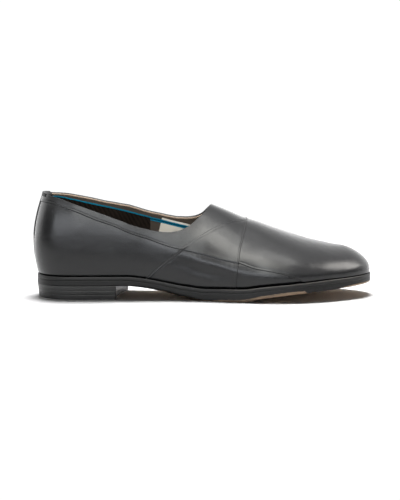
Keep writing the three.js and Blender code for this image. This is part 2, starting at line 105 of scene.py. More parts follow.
SPINE = table(("at", "rise", "shift", "side_power", "crown_power", "swell", "welt"), [
    (0.120, 1.697, 0.000, 2.00, 0.42, 2.8, 0.8), (0.290, 1.334, 0.000, 2.10, 0.46, 2.6, 1.2),
    (0.430, 1.146, 0.010, 2.00, 0.52, 2.6, 1.9), (0.521, 1.000, 0.022, 1.90, 0.55, 2.4, 2.6),
    (0.630, 0.794, 0.035, 1.90, 0.55, 2.4, 3.0), (0.700, 0.655, 0.040, 1.90, 0.54, 2.2, 3.0),
    (0.790, 0.497, 0.050, 1.90, 0.54, 2.0, 2.8), (0.840, 0.427, 0.055, 1.95, 0.56, 1.6, 2.6),
    (0.885, 0.375, 0.060, 2.05, 0.63, 1.2, 2.3), (0.920, 0.345, 0.065, 2.20, 0.70, 1.0, 1.8)])
TOPLINE = {
    LATERAL: table(("at", "of_back", "of_throat"), [
        (0.018, 1.000, 0.000), (0.045, 0.980, 0.000), (0.075, 0.949, 0.000), (0.110, 0.898, 0.000),
        (0.150, 0.838, 0.000), (0.190, 0.778, 0.000), (0.230, 0.716, 0.000), (0.270, 0.646, 0.007),
        (0.305, 0.508, 0.109), (0.335, 0.353, 0.254), (0.360, 0.221, 0.386), (0.385, 0.105, 0.514),
        (0.410, 0.024, 0.621), (0.432, 0.000, 0.684), (0.455, 0.000, 0.745), (0.475, 0.000, 0.822),
        (0.492, 0.000, 0.890), (0.508, 0.000, 0.954), (0.521, 0.000, 1.000)]),
    MEDIAL: table(("at", "of_back", "of_throat"), [
        (0.018, 1.000, 0.000), (0.045, 0.980, 0.000), (0.080, 0.963, 0.000), (0.120, 0.932, 0.000),
        (0.160, 0.900, 0.000), (0.200, 0.863, 0.000), (0.240, 0.835, 0.000), (0.275, 0.793, 0.018),
        (0.305, 0.650, 0.139), (0.335, 0.452, 0.324), (0.365, 0.251, 0.528), (0.395, 0.084, 0.696),
        (0.425, 0.002, 0.786), (0.450, 0.000, 0.802), (0.472, 0.000, 0.827), (0.492, 0.000, 0.872),
        (0.508, 0.000, 0.940), (0.521, 0.000, 1.000)])}
COLLAR_SEAM = table(("at", "of_back", "of_throat"), [
    (-0.050, 0.910, 0.000), (0.040, 0.890, 0.000), (0.109, 0.814, 0.000), (0.185, 0.687, 0.000),
    (0.256, 0.576, 0.000), (0.342, 0.250, 0.236), (0.427, 0.000, 0.445), (0.482, 0.000, 0.428),
    (0.550, 0.000, 0.356), (0.600, 0.000, 0.313), (0.652, 0.000, 0.218), (0.695, 0.000, 0.167),
    (0.737, 0.000, 0.110), (0.769, 0.000, 0.042), (0.800, 0.000, -0.030)])
SADDLE_SEAM = table(("at", "of_throat"), [
    (0.318, -0.060), (0.350, 0.102), (0.372, 0.205), (0.407, 0.357), (0.462, 0.562), (0.490, 0.645),
    (0.525, 0.725), (0.560, 0.778), (0.587, 0.800), (0.610, 0.802), (0.628, 0.797)])
SADDLE_FRONT = table(("of_throat", "lateral", "medial"), [
    (0.797, 0.000, 0.000), (0.591, -0.059, 0.055), (0.494, -0.091, 0.090), (0.310, -0.122, 0.150),
    (0.052, -0.154, 0.210), (-0.060, -0.160, 0.225)])


def follow(columns, name, at, rounder=False):
    """Cubic through a column, held at its ends. Its inner slopes are harmonic means, so that it never swings past
    a point. Where it is rounder, they are the neighbours' slopes weighted by distance."""
    xs, ys = columns["at"], columns[name]
    gap = np.diff(xs)
    rise = np.diff(ys) / gap
    before, after = rise[:-1], rise[1:]
    both = before * after > 0
    inner = np.where(both, 2 * before * after / np.where(both, before + after, 1), 0)
    if rounder:
        inner = (before * gap[1:] + after * gap[:-1]) / (gap[:-1] + gap[1:])
    slopes = np.concatenate([rise[:1], inner, rise[-1:]])
    x = np.clip(at, xs[0], xs[-1])
    k = np.clip(np.searchsorted(xs, x, side="right") - 1, 0, len(xs) - 2)
    width = gap[k]
    t = (x - xs[k]) / width
    return ((1 + 2 * t) * (1 - t) ** 2 * ys[k] + t * (1 - t) ** 2 * width * slopes[k]
            + t * t * (3 - 2 * t) * ys[k + 1] + t * t * (t - 1) * width * slopes[k + 1])


def ease(low, high, x):
    """Smooth step from 0 at low to 1 at high."""
    t = np.clip((x - low) / (high - low), 0, 1)
    return t * t * (3 - 2 * t)


def tread_height(at):
    return HEEL_HEIGHT * follow(BED, "heel", at) + TOE_SPRING * follow(BED, "spring", at)


def outsole_top(at):
    return tread_height(at) + OUTSOLE_THICKNESS * follow(BED, "thick", at)


def welt_top(at):
    return outsole_top(at) + FIT + WELT_THICKNESS


def foot_height(at):
    """Where the upper's leather starts, just above the welt."""
    return welt_top(at) + FIT


def at_of(turn):
    """Share of the sole's length for an angle round the sole."""
    return (1 - np.cos(turn)) / 2


def side_of(turn):
    return np.where(np.sin(turn) >= 0, LATERAL, MEDIAL)


def turn_of(at, side):
    """Angle round the sole for a share of its length: 0 at the back, pi at the toe, outer side first."""
    angle = np.arccos(1 - 2 * np.asarray(at, float))
    return np.where(side < 0, angle, -angle)


def outline(turn):
    """The sole's edge seen from above: half widths from the table, closed by a power round at each end."""
    at, side = at_of(turn), side_of(turn)
    lateral, medial = (follow(OUTLINE, name, at, rounder=True) for name in ("lateral", "medial"))
    half = BALL_WIDTH * np.where(side < 0, lateral, medial)
    from_heel = np.maximum(0, 1 - at * SOLE_LENGTH / HEEL_ROUND)
    from_toe = np.maximum(0, 1 - (1 - at) * SOLE_LENGTH / TOE_ROUND)
    closing = np.sqrt(np.maximum(0, 1 - from_heel ** HEEL_POWER) * np.maximum(0, 1 - from_toe ** TOE_POWER))
    return at * SOLE_LENGTH, BALL_WIDTH * follow(OUTLINE, "shift", at) + side * half * closing


def outline_normal(turn):
    """Outward direction of the sole's edge, square to the line between two points close by."""
    x0, y0 = outline(turn - 1e-3)
    x1, y1 = outline(turn + 1e-3)
    length = np.hypot(x1 - x0, y1 - y0)
    return (y1 - y0) / length, -(x1 - x0) / length


def columns_at(turn):
    """Everything that one column of the last needs: its foot on the welt and its end on the spine.

    Toe and heel columns fan out: the spine point is drawn back from the toe and forward from the heel by the
    square of the column's nearness to that end."""
    turn = np.asarray(turn, float)
    x, y = outline(turn)
    nx, ny = outline_normal(turn)
    at = at_of(turn)
    near_toe = np.maximum(0, 1 - (SOLE_LENGTH - x) / (2 * TOE_BOX_DEPTH))
    near_heel = np.maximum(0, 1 - x / (2 * HEEL_SEAT_DEPTH))
    tip = SOLE_LENGTH - TOE_BOX_DEPTH
    along = x - TOE_BOX_DEPTH * near_toe ** 2 + HEEL_SEAT_DEPTH * near_heel ** 2
    along = np.where(tip - along < FIT, tip, along)
    spine_at = along / SOLE_LENGTH
    foot = foot_height(at)
    spine_z = foot_height(spine_at) + THROAT_RISE * follow(SPINE, "rise", spine_at)
    return {
        "at": at, "side": side_of(turn), "x": x, "y": y, "nx": nx, "ny": ny, "near_heel": near_heel,
        "foot": foot, "rise": spine_z - foot, "welt": follow(SPINE, "welt", at),
        "spine_x": along, "spine_y": BALL_WIDTH * follow(SPINE, "shift", spine_at),
        **{name: follow(SPINE, name, spine_at) for name in ("swell", "side_power", "crown_power")}}


def last_point(c, share, out):
    """Point of the last, moved out by "out": it rises evenly with share, from the welt at 0 to the spine at 1,
    and is drawn in towards the spine by (1 - share^side)^crown, plus a hump that is highest at a third."""
    inward = c["welt"] - out
    foot_x, foot_y = c["x"] - c["nx"] * inward, c["y"] - c["ny"] * inward
    away_x, away_y = foot_x - c["spine_x"], foot_y - c["spine_y"]
    reach = np.hypot(away_x, away_y)
    swell = c["swell"] + (HEEL_BULGE - c["swell"]) * c["near_heel"] * (away_x / reach) ** 2
    share = np.clip(share, 0, 1)
    hump = 6.75 * share * (1 - share) ** 2
    drawn = (1 - share ** c["side_power"]) ** c["crown_power"] + swell * hump / reach
    z = c["foot"] + (c["rise"] + out) * share
    return np.stack(np.broadcast_arrays(c["spine_x"] + away_x * drawn, c["spine_y"] + away_y * drawn, z), -1)


def halved(low, high, short):
    """Where "short" stops to hold between low and high, by halving."""
    for _ in range(36):
        middle = (low + high) / 2
        held = short(middle)
        low, high = np.where(held, middle, low), np.where(held, high, middle)
    return (low + high) / 2


def crossing(c, height):
    """Share at which each column passes a line of heights over x."""
    def under(share):
        p = last_point(c, share, 0)
        return p[..., 2] < height(p[..., 0], c["side"])
    return halved(np.zeros_like(c["x"]), np.ones_like(c["x"]), under)


def line_height(line, x):
    """Height of a line over x, from its shares of the back's rise and of the throat's."""
    at = x / SOLE_LENGTH
    return foot_height(at) + BACK_RISE * follow(line, "of_back", at) + THROAT_RISE * follow(line, "of_throat", at)


def topline_height(x, side):
    return np.where(side < 0, line_height(TOPLINE[LATERAL], x), line_height(TOPLINE[MEDIAL], x))


def collar_seam_height(x, side=None):
    return line_height(COLLAR_SEAM, x)


def topline_share(c):
    """Where the topline cuts each column. Columns in front of the throat reach the spine."""
    return np.where(c["at"] < THROAT_AT - 1e-6, crossing(c, topline_height), 1.0)


def graded_stations(count):
    """Shares of the sole's length, evenly spaced along its edge and closer together at the throat."""
    turn = np.linspace(0, math.pi, 6001)
    x, y = outline(turn)
    step = np.hypot(np.diff(x), np.diff(y)) * (1 + 5 * np.exp(-((x[1:] - THROAT_FROM_BACK + 2) / 5) ** 2))
    travelled = np.concatenate([[0], np.cumsum(step)])
    turn = np.interp(np.linspace(0, travelled[-1], count), travelled, turn)
    at = at_of(turn)
    at[np.argmin(np.abs(at - THROAT_AT))] = THROAT_AT
    return at


STATIONS = graded_stations(300)
ROUND = np.concatenate([turn_of(STATIONS, LATERAL), turn_of(STATIONS[-2:0:-1], MEDIAL)])
SOLE_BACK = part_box("outsole")[0].x / MM
SHIFT = (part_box("outsole")[0].y / MM) - outline(ROUND)[1].min()


def column_point(turn, z, out):
    """Point at height z of the last's column at a turn, moved out by "out"."""
    c = columns_at(turn)
    return last_point(c, (z - c["foot"]) / c["rise"], out)


def on_last(x, z, side, out):
    """Point of the last seen from the side at (x, z): the column is found by halving, as x grows with it."""
    x, z = np.broadcast_arrays(np.asarray(x, float), np.asarray(z, float))
    at = halved(np.zeros_like(x), np.ones_like(x), lambda at: column_point(turn_of(at, side), z, 0)[..., 0] < x)
    return column_point(turn_of(at, side), z, out)


def behind_last(y, z, out):
    """Point of the last seen from behind at (y, z), near its back: found by halving the turn."""
    y, z = np.broadcast_arrays(np.asarray(y, float), np.asarray(z, float))
    turn = halved(np.full_like(y, -0.9), np.full_like(y, 0.9), lambda turn: column_point(turn, z, 0)[..., 1] > y)
    return column_point(turn, z, out)


# Making pieces

INSIDE = bpy.data.collections.new("inside_pieces")


def unit(vectors):
    return vectors / np.linalg.norm(vectors, axis=-1, keepdims=True)
def placed(points):
    """Millimetres from the sole's back to metres on the frame."""
    return (np.asarray(points, float).reshape(-1, 3) + (SOLE_BACK, SHIFT, 0)) * MM


def grid_faces(rows, cols, closed):
    """Quads of a grid whose rows may close on themselves."""
    r, k = np.meshgrid(np.arange(rows - 1), np.arange(cols if closed else cols - 1), indexing="ij")
    n = (k + 1) % cols
    return np.stack([r * cols + k, r * cols + n, (r + 1) * cols + n, (r + 1) * cols + k], -1).reshape(-1, 4)


def facing_out(vertices, quads, facing, axis_z):
    """Turns the quads so that most face away from the shoe's long axis (facing 1) or towards it (-1)."""
    corner = vertices[quads]
    normal = np.cross(corner[:, 2] - corner[:, 0], corner[:, 3] - corner[:, 1])
    middle = corner.mean(1)
    axis = np.stack([np.clip(middle[:, 0], 45, 252), 0 * middle[:, 1], np.full(len(middle), axis_z)], -1)
    turned = (normal * (middle - axis)).sum() * facing < 0
    return quads[:, ::-1] if turned else quads


def mesh_piece(name, vertices, faces, finish, node=None, marks=None, weld=0.002):
    """A mesh from vertices in millimetres and quads. Points closer than "weld" become one, which closes seams
    and poles. Marks are values per vertex that the finish reads."""
    mesh = bpy.data.meshes.new(name)
    mesh.vertices.add(len(vertices))
    mesh.vertices.foreach_set("co", placed(vertices).ravel())
    mesh.loops.add(faces.size)
    mesh.loops.foreach_set("vertex_index", faces.ravel())
    mesh.polygons.add(len(faces))
    mesh.polygons.foreach_set("loop_start", np.arange(0, faces.size, 4))
    mesh.polygons.foreach_set("loop_total", np.full(len(faces), 4))
    mesh.update(calc_edges=True)
    for label, values in (marks or {}).items():
        attribute = mesh.attributes.new(label, "FLOAT", "POINT")
        attribute.data.foreach_set("value", np.asarray(values, np.float32).ravel())
    work = bmesh.new()
    work.from_mesh(mesh)
    bmesh.ops.remove_doubles(work, verts=work.verts, dist=weld * MM)
    bmesh.ops.dissolve_degenerate(work, edges=work.edges, dist=weld * MM)
    work.to_mesh(mesh)
    work.free()
    mesh.polygons.foreach_set("use_smooth", np.ones(len(mesh.polygons), bool))
    mesh.materials.append(finish)
    made = bpy.data.objects.new(name, mesh)
    bpy.context.collection.objects.link(made)
    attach(made, "root")
    if node:
        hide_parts(node)
    return made


def piece(name, grids, finish, node=None, marks=None, facing=1, axis_z=35.0):
    """One mesh from grids of points, each (points, closed), with a list of marks per grid."""
    vertices, faces, start = [], [], 0
    for points, closed in grids:
        flat = points.reshape(-1, 3)
        quads = facing_out(flat, grid_faces(points.shape[0], points.shape[1], closed), facing, axis_z)
        vertices.append(flat)
        faces.append(quads + start)
        start += len(flat)
    joined = {label: np.concatenate([np.ravel(v) for v in values]) for label, values in (marks or {}).items()}
    return mesh_piece(name, np.concatenate(vertices), np.concatenate(faces), finish, node, joined)


def calf_panel(name, points, edge=5.0, closed=False, axis_z=35.0):
    """A panel of the black leather. The mark "edge" is the distance to its nearest cut or sewn edge, where the
    finish paints shade.
    """
    return piece(name, [(points, closed)], BLACK_CALF, "upper",
                 {"edge": [edge + np.zeros(points.shape[:2])]}, axis_z=axis_z)


def inside_layer(name, grids, finish, node=None, axis_z=35.0):
    """A layer inside the shoe that faces inwards and is reached by the inside light."""
    INSIDE.objects.link(piece(name, grids, finish, node, facing=-1, axis_z=axis_z))


STITCH_PITCH, STITCH_LENGTH, STITCH_MARGIN, THREAD = 2.2, 1.6, 2.0, 0.15
RINGS, RING_POINTS = 7, 6


def stitch_spots(path, outward):
    """Places at an even pitch along a path, and the directions along it and out of the leather there."""
    travelled = np.concatenate([[0], np.cumsum(np.linalg.norm(np.diff(path, axis=0), axis=1))])
    at = np.arange(STITCH_MARGIN, travelled[-1] - STITCH_MARGIN, STITCH_PITCH)
    spots, ahead = (np.stack([np.interp(v, travelled, path[:, k]) for k in range(3)], -1) for v in (at, at + 0.2))
    along = unit(ahead - spots)
    out = outward[::4][np.argmin(((spots[:, None] - path[None, ::4]) ** 2).sum(-1), 1)]
    return spots, along, unit(out - (out * along).sum(-1, keepdims=True) * along)


def stitches(name, rows, finish):
    """Sewn thread: at each pitch a small lens along the seam, sqrt(1 - t^2) thick and sunk at its ends.

    A row is a path of points on the leather and the direction out of the leather at each."""
    spot, along, out = (np.concatenate(v)[:, None, None] for v in zip(*(stitch_spots(*row) for row in rows)))
    side = np.cross(along, out)
    t = np.linspace(-1, 1, RINGS)[None, :, None, None]
    turn = np.linspace(0, 2 * math.pi, RING_POINTS + 1)[:-1][None, None, :, None]
    thick = THREAD * np.sqrt(1 - t ** 2)
    lift = THREAD * (0.9 - 1.6 * t ** 4)
    shape = spot + along * t * STITCH_LENGTH / 2 + out * (lift + thick * np.cos(turn)) + side * thick * np.sin(turn)
    quads = grid_faces(RINGS, RING_POINTS, True)
    faces = (quads[None] + np.arange(len(shape))[:, None, None] * RINGS * RING_POINTS).reshape(-1, 4)
    corner = shape.reshape(-1, 3)[quads]
    normal = np.cross(corner[:, 2] - corner[:, 0], corner[:, 3] - corner[:, 1])
    if (normal * (corner.mean(1) - shape[0].reshape(-1, 3).mean(0))).sum() < 0:
        faces = faces[:, ::-1]
    return mesh_piece(name, shape.reshape(-1, 3), faces, finish, weld=0.0005)


def sewn_row(x, z, side, out):
    """A path over the last seen from the side, with the direction out of the leather."""
    path = on_last(x, z, side, out)
    return path, on_last(x, z, side, out + 1.0) - path


# Finishes

def set_inputs(tree, node, inputs):
    """Sets a node's inputs to values, or links them to sockets."""
    for key, value in inputs.items():
        if isinstance(value, bpy.types.NodeSocket):
            tree.links.new(value, node.inputs[key])
        else:
            node.inputs[key].default_value = value


def add(tree, kind, inputs=None, **settings):
    """A node with its settings and inputs."""
    made = tree.nodes.new(kind)
    for key, value in settings.items():
        setattr(made, key, value)
    set_inputs(tree, made, inputs or {})
    return made


def sum_of(tree, operation, a, b=0.0, c=0.0):
    return add(tree, "ShaderNodeMath", {0: a, 1: b, 2: c}, operation=operation).outputs[0]


def mix_colour(tree, share, a, b):
    return add(tree, "ShaderNodeMix", {0: share, 6: a, 7: b}, data_type="RGBA").outputs[2]


def tinted(tree, mask, share, colour, tint):
    """The colour, mixed with a tint by a share of a mask."""
    return mix_colour(tree, sum_of(tree, "MULTIPLY", mask, share), colour, tint)


def ramp(tree, value, from_low, from_high, to_low=0.0, to_high=1.0):
    return add(tree, "ShaderNodeMapRange", {"Value": value, "From Min": from_low, "From Max": from_high,
                                            "To Min": to_low, "To Max": to_high},
               interpolation_type="SMOOTHSTEP").outputs[0]


def noise(tree, where, scale, detail=2.0, roughness=0.5):
    return add(tree, "ShaderNodeTexNoise", {"Vector": where, "Scale": scale, "Detail": detail,
                                            "Roughness": roughness}).outputs["Fac"]


def stretched(tree, where, scale, turn=(0, 0, 0)):
    return add(tree, "ShaderNodeMapping", {"Vector": where, "Scale": scale, "Rotation": turn}).outputs[0]


def mark(tree, name):
    return add(tree, "ShaderNodeAttribute", attribute_name=name).outputs["Fac"]


def bump(tree, height, depth, before=None):
    inputs = {"Height": height, "Distance": depth}
    if before is not None:
        inputs["Normal"] = before
    return add(tree, "ShaderNodeBump", inputs).outputs[0]


def new_group(name, inputs, outputs):
    """A shared effect: named inputs with start values, and named outputs."""
    tree = bpy.data.node_groups.new(name, "ShaderNodeTree")
    for label, kind, start in inputs:
        socket = tree.interface.new_socket(label, in_out="INPUT", socket_type=kind)
        if start is not None:
            socket.default_value = start
    for label in outputs:
        tree.interface.new_socket(label, in_out="OUTPUT", socket_type="NodeSocketFloat")
    return tree, tree.nodes.new("NodeGroupInput").outputs, tree.nodes.new("NodeGroupOutput").inputs


def leather_grain_group():
    """Grain: small rounded cells between fine furrows, with finer noise on top, and a slow cloud."""
    tree, given, result = new_group("leather_grain", [
        ("Vector", "NodeSocketVector", None), ("Cells", "NodeSocketFloat", 1100.0),
        ("Fineness", "NodeSocketFloat", 0.35)], ["Height", "Cloud"])
    wander = add(tree, "ShaderNodeTexNoise", {"Vector": given["Vector"], "Scale": 260.0, "Detail": 1.0})
    shifted = add(tree, "ShaderNodeVectorMath", {0: wander.outputs["Color"], 1: (0.0012, 0.0012, 0.0012),
                                                 2: given["Vector"]}, operation="MULTIPLY_ADD").outputs[0]
    cells = add(tree, "ShaderNodeTexVoronoi", {"Vector": shifted, "Scale": given["Cells"]},
                feature="DISTANCE_TO_EDGE").outputs["Distance"]
    height = sum_of(tree, "MULTIPLY_ADD", noise(tree, given["Vector"], 3400.0), given["Fineness"],
                    ramp(tree, cells, 0.0, 0.35))
    tree.links.new(sum_of(tree, "MULTIPLY", height, 0.74), result["Height"])
    tree.links.new(noise(tree, given["Vector"], 38.0, 3.0), result["Cloud"])
    return tree


def wear_group():
    """Handling marks: a soft cloud of dust, and short thin scuffs where a stretched noise peaks."""
    tree, given, result = new_group("wear", [
        ("Vector", "NodeSocketVector", None), ("Reach", "NodeSocketFloat", 0.5)], ["Dust", "Scuff"])
    dust = ramp(tree, noise(tree, given["Vector"], 55.0, 5.0, 0.6), 0.46, 0.78)
    tree.links.new(sum_of(tree, "MULTIPLY", dust, given["Reach"]), result["Dust"])
    streak = noise(tree, stretched(tree, given["Vector"], (60, 300, 900), (0.2, 0.5, 0.4)), 1.0, 3.0, 0.55)
    tree.links.new(ramp(tree, streak, 0.66, 0.76), result["Scuff"])
    return tree


GRAIN = leather_grain_group()
WEAR = wear_group()


def new_finish(name):
    """A material with its shader and object coordinates."""
    made = bpy.data.materials.new(name)
    made.use_nodes = True
    tree = made.node_tree
    tree.nodes.clear()
    shader = tree.nodes.new("ShaderNodeBsdfPrincipled")
    tree.links.new(shader.outputs[0], tree.nodes.new("ShaderNodeOutputMaterial").inputs[0])
    where = tree.nodes.new("ShaderNodeTexCoord").outputs["Object"]
    return made, tree, shader, where


def leather_finish(name, cells, reach):
    """A material with the two shared effects placed in it: grain of so many cells, and wear of some reach."""
    made, tree, shader, where = new_finish(name)
    grain = add(tree, "ShaderNodeGroup", {}, node_tree=GRAIN)
    wear = add(tree, "ShaderNodeGroup", {}, node_tree=WEAR)
    set_inputs(tree, grain, {"Vector": where, "Cells": cells})
    set_inputs(tree, wear, {"Vector": where, "Reach": reach})
    return made, tree, shader, where, grain.outputs, wear.outputs


def rgba(colour, share=1.0):
    return (*[share * v for v in colour], 1)


def calf_leather(name, dark, light, smooth):
    """Polished black calf: near-black, satin and faintly cloudy, softly wavy under its fine grain. The mark
    "edge" darkens and dulls it where it nears zero: painted shade along the seams and cut edges."""
    made, tree, shader, where, grain, wear = leather_finish(name, 1100.0, 0.35)
    colour = mix_colour(tree, grain["Cloud"], rgba(dark), rgba(light))
    colour = tinted(tree, wear["Dust"], 0.25, colour, (0.030, 0.029, 0.027, 1))
    # Painted shade: near-black colour and duller gloss along seams and cut edges, where lapped panels cast shade
    cut = ramp(tree, mark(tree, "edge"), 0.12, 0.6, 1.0, 0.0)
    rough = sum_of(tree, "MULTIPLY_ADD", grain["Cloud"], 0.07, smooth)
    rough = sum_of(tree, "MULTIPLY_ADD", wear["Dust"], 0.12, rough)
    wavy = bump(tree, noise(tree, where, 85.0, 1.5), 0.00022)
    set_inputs(tree, shader, {
        "Base Color": tinted(tree, cut, 0.9, colour, (0.001, 0.001, 0.001, 1)),
        "Roughness": sum_of(tree, "MULTIPLY_ADD", cut, 0.7, rough),
        "Specular IOR Level": 0.34, "Coat Weight": 0.08, "Coat Roughness": 0.18,
        "Normal": bump(tree, grain["Height"], 0.000035, wavy)})
    return made


def plain_leather(name, dark, light, rough, grain_depth, cells=900.0, shine=0.4):
    """Uncoated leather or tape: two tones by a cloud, matt, with its own grain and a few scuffs."""
    made, tree, shader, where, grain, wear = leather_finish(name, cells, 0.5)
    colour = mix_colour(tree, grain["Cloud"], rgba(dark), rgba(light))
    set_inputs(tree, shader, {
        "Base Color": tinted(tree, wear["Scuff"], 0.3, colour, rgba(dark, 0.5)),
        "Roughness": sum_of(tree, "MULTIPLY_ADD", wear["Dust"], 0.12, rough),
        "Specular IOR Level": shine, "Normal": bump(tree, grain["Height"], grain_depth)})
    return made


def ribbed_suede():
    """Heel grip: dark brown suede with fine slanting ribs pressed into its nap."""
    made, tree, shader, where, grain, wear = leather_finish("ribbed_suede", 1500.0, 0.4)
    ribs = add(tree, "ShaderNodeTexWave", {"Vector": stretched(tree, where, (1, 1, 1), (0, 0.5, 0)),
                                           "Scale": 95.0, "Distortion": 1.5, "Detail": 1.0,
                                           "Detail Scale": 2.0}, bands_direction="X").outputs["Fac"]
    colour = mix_colour(tree, ribs, (0.005, 0.0035, 0.0025, 1), (0.013, 0.009, 0.0065, 1))
    set_inputs(tree, shader, {
        "Base Color": mix_colour(tree, wear["Dust"], colour, (0.020, 0.015, 0.011, 1)),
        "Roughness": 0.9, "Specular IOR Level": 0.1, "Sheen Weight": 0.04, "Sheen Roughness": 0.4,
        "Normal": bump(tree, grain["Height"], 0.00012, bump(tree, ribs, 0.0003))})
    return made


def layered_edge(name, line_heights, dark, light, rough, shine):
    """Inked and burnished edge: streaks run along the layers. The mark "seam" is the distance to the nearest
    joint and draws it dark, and a second mark lightens the welt's top edge to grey: a painted highlight."""
    made, tree, shader, where, grain, wear = leather_finish(name, 800.0, 0.6)
    fibres = noise(tree, stretched(tree, where, (90, 90, 2600)), 1.0, 3.0, 0.6)
    colour = mix_colour(tree, fibres, rgba(dark), rgba(light))
    colour = tinted(tree, wear["Scuff"], 0.25, colour, rgba(light, 2.2))
    joint = ramp(tree, mark(tree, "seam"), 0.03, 0.25, 0.45, 0.0)
    colour = mix_colour(tree, joint, colour, (0.002, 0.002, 0.002, 1))
    set_inputs(tree, shader, {
        # Painted highlight: a lighter grey along the welt's top edge, where that edge catches light
        "Base Color": tinted(tree, mark(tree, "painted_highlight"), 0.9, colour, (0.17, 0.16, 0.145, 1)),
        "Roughness": sum_of(tree, "MULTIPLY_ADD", fibres, 0.25, rough), "Specular IOR Level": shine,
        "Normal": bump(tree, grain["Height"], 0.00003, bump(tree, fibres, line_heights))})
    return made


def outsole_finish():
    """Sole leather: inked black on its edge, raw tan below the line where the mark "raw" turns positive."""
    made, tree, shader, where, grain, wear = leather_finish("sole_leather_inked_edge", 900.0, 1.0)
    fibres = noise(tree, stretched(tree, where, (70, 70, 1800)), 1.0, 3.0, 0.6)
    ragged = sum_of(tree, "MULTIPLY_ADD", noise(tree, where, 420.0, 3.0), 0.9, -0.45)
    raw = ramp(tree, sum_of(tree, "ADD", mark(tree, "raw"), ragged), -0.12, 0.12)
    tan = mix_colour(tree, grain["Cloud"], (0.30, 0.21, 0.14, 1), (0.40, 0.29, 0.20, 1))
    tan = tinted(tree, fibres, 0.5, tan, (0.20, 0.135, 0.085, 1))
    tan = mix_colour(tree, wear["Dust"], tan, (0.17, 0.13, 0.10, 1))
    groove = ramp(tree, mark(tree, "seam"), 0.15, 0.55, 1.0, 0.0)
    tan = tinted(tree, groove, 0.6, tan, (0.08, 0.05, 0.03, 1))
    ink = mix_colour(tree, fibres, (0.004, 0.004, 0.004, 1), (0.011, 0.0108, 0.0104, 1))
    rough = sum_of(tree, "MULTIPLY_ADD", raw, 0.25, 0.36)
    shallow = bump(tree, sum_of(tree, "SUBTRACT", fibres, groove), 0.00012)
    set_inputs(tree, shader, {
        "Base Color": mix_colour(tree, raw, ink, tan),
        "Roughness": sum_of(tree, "MULTIPLY_ADD", fibres, 0.15, rough), "Specular IOR Level": 0.22,
        "Normal": bump(tree, grain["Height"], 0.00004, shallow)})
    return made


BLACK_CALF = calf_leather("black_calf", (0.0060, 0.0063, 0.0072), (0.0095, 0.0098, 0.0108), 0.15)
LINING = plain_leather("taupe_lining", (0.040, 0.031, 0.023), (0.062, 0.049, 0.037), 0.62, 0.00005)
SUEDE = ribbed_suede()
RAW_EDGE = plain_leather("tan_cut_edge", (0.30, 0.22, 0.16), (0.42, 0.33, 0.25), 0.8, 0.00008)
TAPE = plain_leather("blue_tape", (0.001, 0.150, 0.260), (0.002, 0.200, 0.330), 0.6, 0.00003, 1600.0, 0.08)
DARK_TAPE = plain_leather("blue_tape_middle", (0.001, 0.045, 0.085), (0.002, 0.060, 0.105), 0.6, 0.00003,
                          1600.0, 0.08)
PATCH = plain_leather("white_patch", (0.70, 0.68, 0.61), (0.78, 0.75, 0.68), 0.6, 0.00003)
TAB_LEATHER = plain_leather("black_tab_leather", (0.006, 0.006, 0.0065), (0.010, 0.010, 0.0105), 0.5, 0.00004,
                            shine=0.2)
BLACK_THREAD = plain_leather("black_thread", (0.010, 0.010, 0.011), (0.016, 0.016, 0.017), 0.5, 0.00004, 3000.0)
WELT_EDGE = layered_edge("welt_edge", 0.00008, (0.006, 0.006, 0.0058), (0.013, 0.0128, 0.0122), 0.34, 0.26)
LIFT_EDGE = layered_edge("lift_edge", 0.00010, (0.011, 0.011, 0.011), (0.021, 0.0208, 0.020), 0.30, 0.46)
HEEL_RUBBER = layered_edge("heel_rubber", 0.00004, (0.012, 0.012, 0.012), (0.019, 0.019, 0.019), 0.36, 0.46)


# The upper's panels

# Turns round the sole from -pi to pi, so that a strip runs from the toe's inner side by the back
TURNS = np.sort(np.mod(ROUND + math.pi, 2 * math.pi) - math.pi)
BACK_HALF = TURNS[at_of(TURNS) <= THROAT_AT + 1e-6]
QUARTER_END, SEAM_END = 0.80, 0.81
COLUMNS = columns_at(ROUND)
RISE = COLUMNS["rise"]
TOP_SHARE = topline_share(COLUMNS)
SEAM_SHARE = np.where(COLUMNS["at"] < SEAM_END, crossing(COLUMNS, collar_seam_height), 0.0)


def word_for(side):
    return "lateral" if side < 0 else "medial"


def quarter_round(t):
    """A quarter circle, up from 0 at t = 0 to 1 at t = 1 and level from there."""
    return np.sqrt(1 - (1 - np.clip(t, 0, 1)) ** 2)


def lap(distance, step, shoulder=0.7):
    """How far a lapped panel stands out: a quarter round up from its cut edge to its full step."""
    return step * quarter_round(distance / shoulder)


def tuck(height):
    """The upper draws in where it meets the welt: a bell 0.9 mm high and 1 mm deep."""
    return -1.0 * np.exp(-(height / 0.9) ** 2)


def hollow(distance, middle, width, depth):
    return -depth * np.exp(-((distance - middle) / width) ** 2)


# Soft forms that the leather keeps, as seen from the side: where (x, height above the welt), half length,
# half width, slope of its length in degrees, and how far it stands out (ridge) or in (trough), in millimetres
SOFT_FORMS = ((154.0, 22.5, 32.0, 5.5, -14.5, 0.75), (151.0, 13.5, 30.0, 5.0, -12.0, -0.60),
              (176.0, 34.0, 16.0, 5.0, 82.0, -0.35), (192.0, 26.0, 18.0, 7.0, -12.0, 0.30),
              (150.0, 44.0, 16.0, 6.0, 48.0, 0.25), (119.0, 50.0, 12.0, 5.0, 40.0, -0.20),
              (60.0, 30.0, 30.0, 9.0, -8.0, -0.25), (225.0, 27.0, 26.0, 8.0, -16.0, 0.20))


def soft_forms(x, height):
    """The sum of the soft forms: each a bell along its length and across its width."""
    total = 0.0
    for form_x, form_height, length, width, slope, out in SOFT_FORMS:
        dx, dz, turn = x - form_x, height - form_height, math.radians(slope)
        along = dx * math.cos(turn) + dz * math.sin(turn)
        across = dz * math.cos(turn) - dx * math.sin(turn)
        total = total + out * np.exp(-(along / length) ** 2 - (across / width) ** 2)
    return total


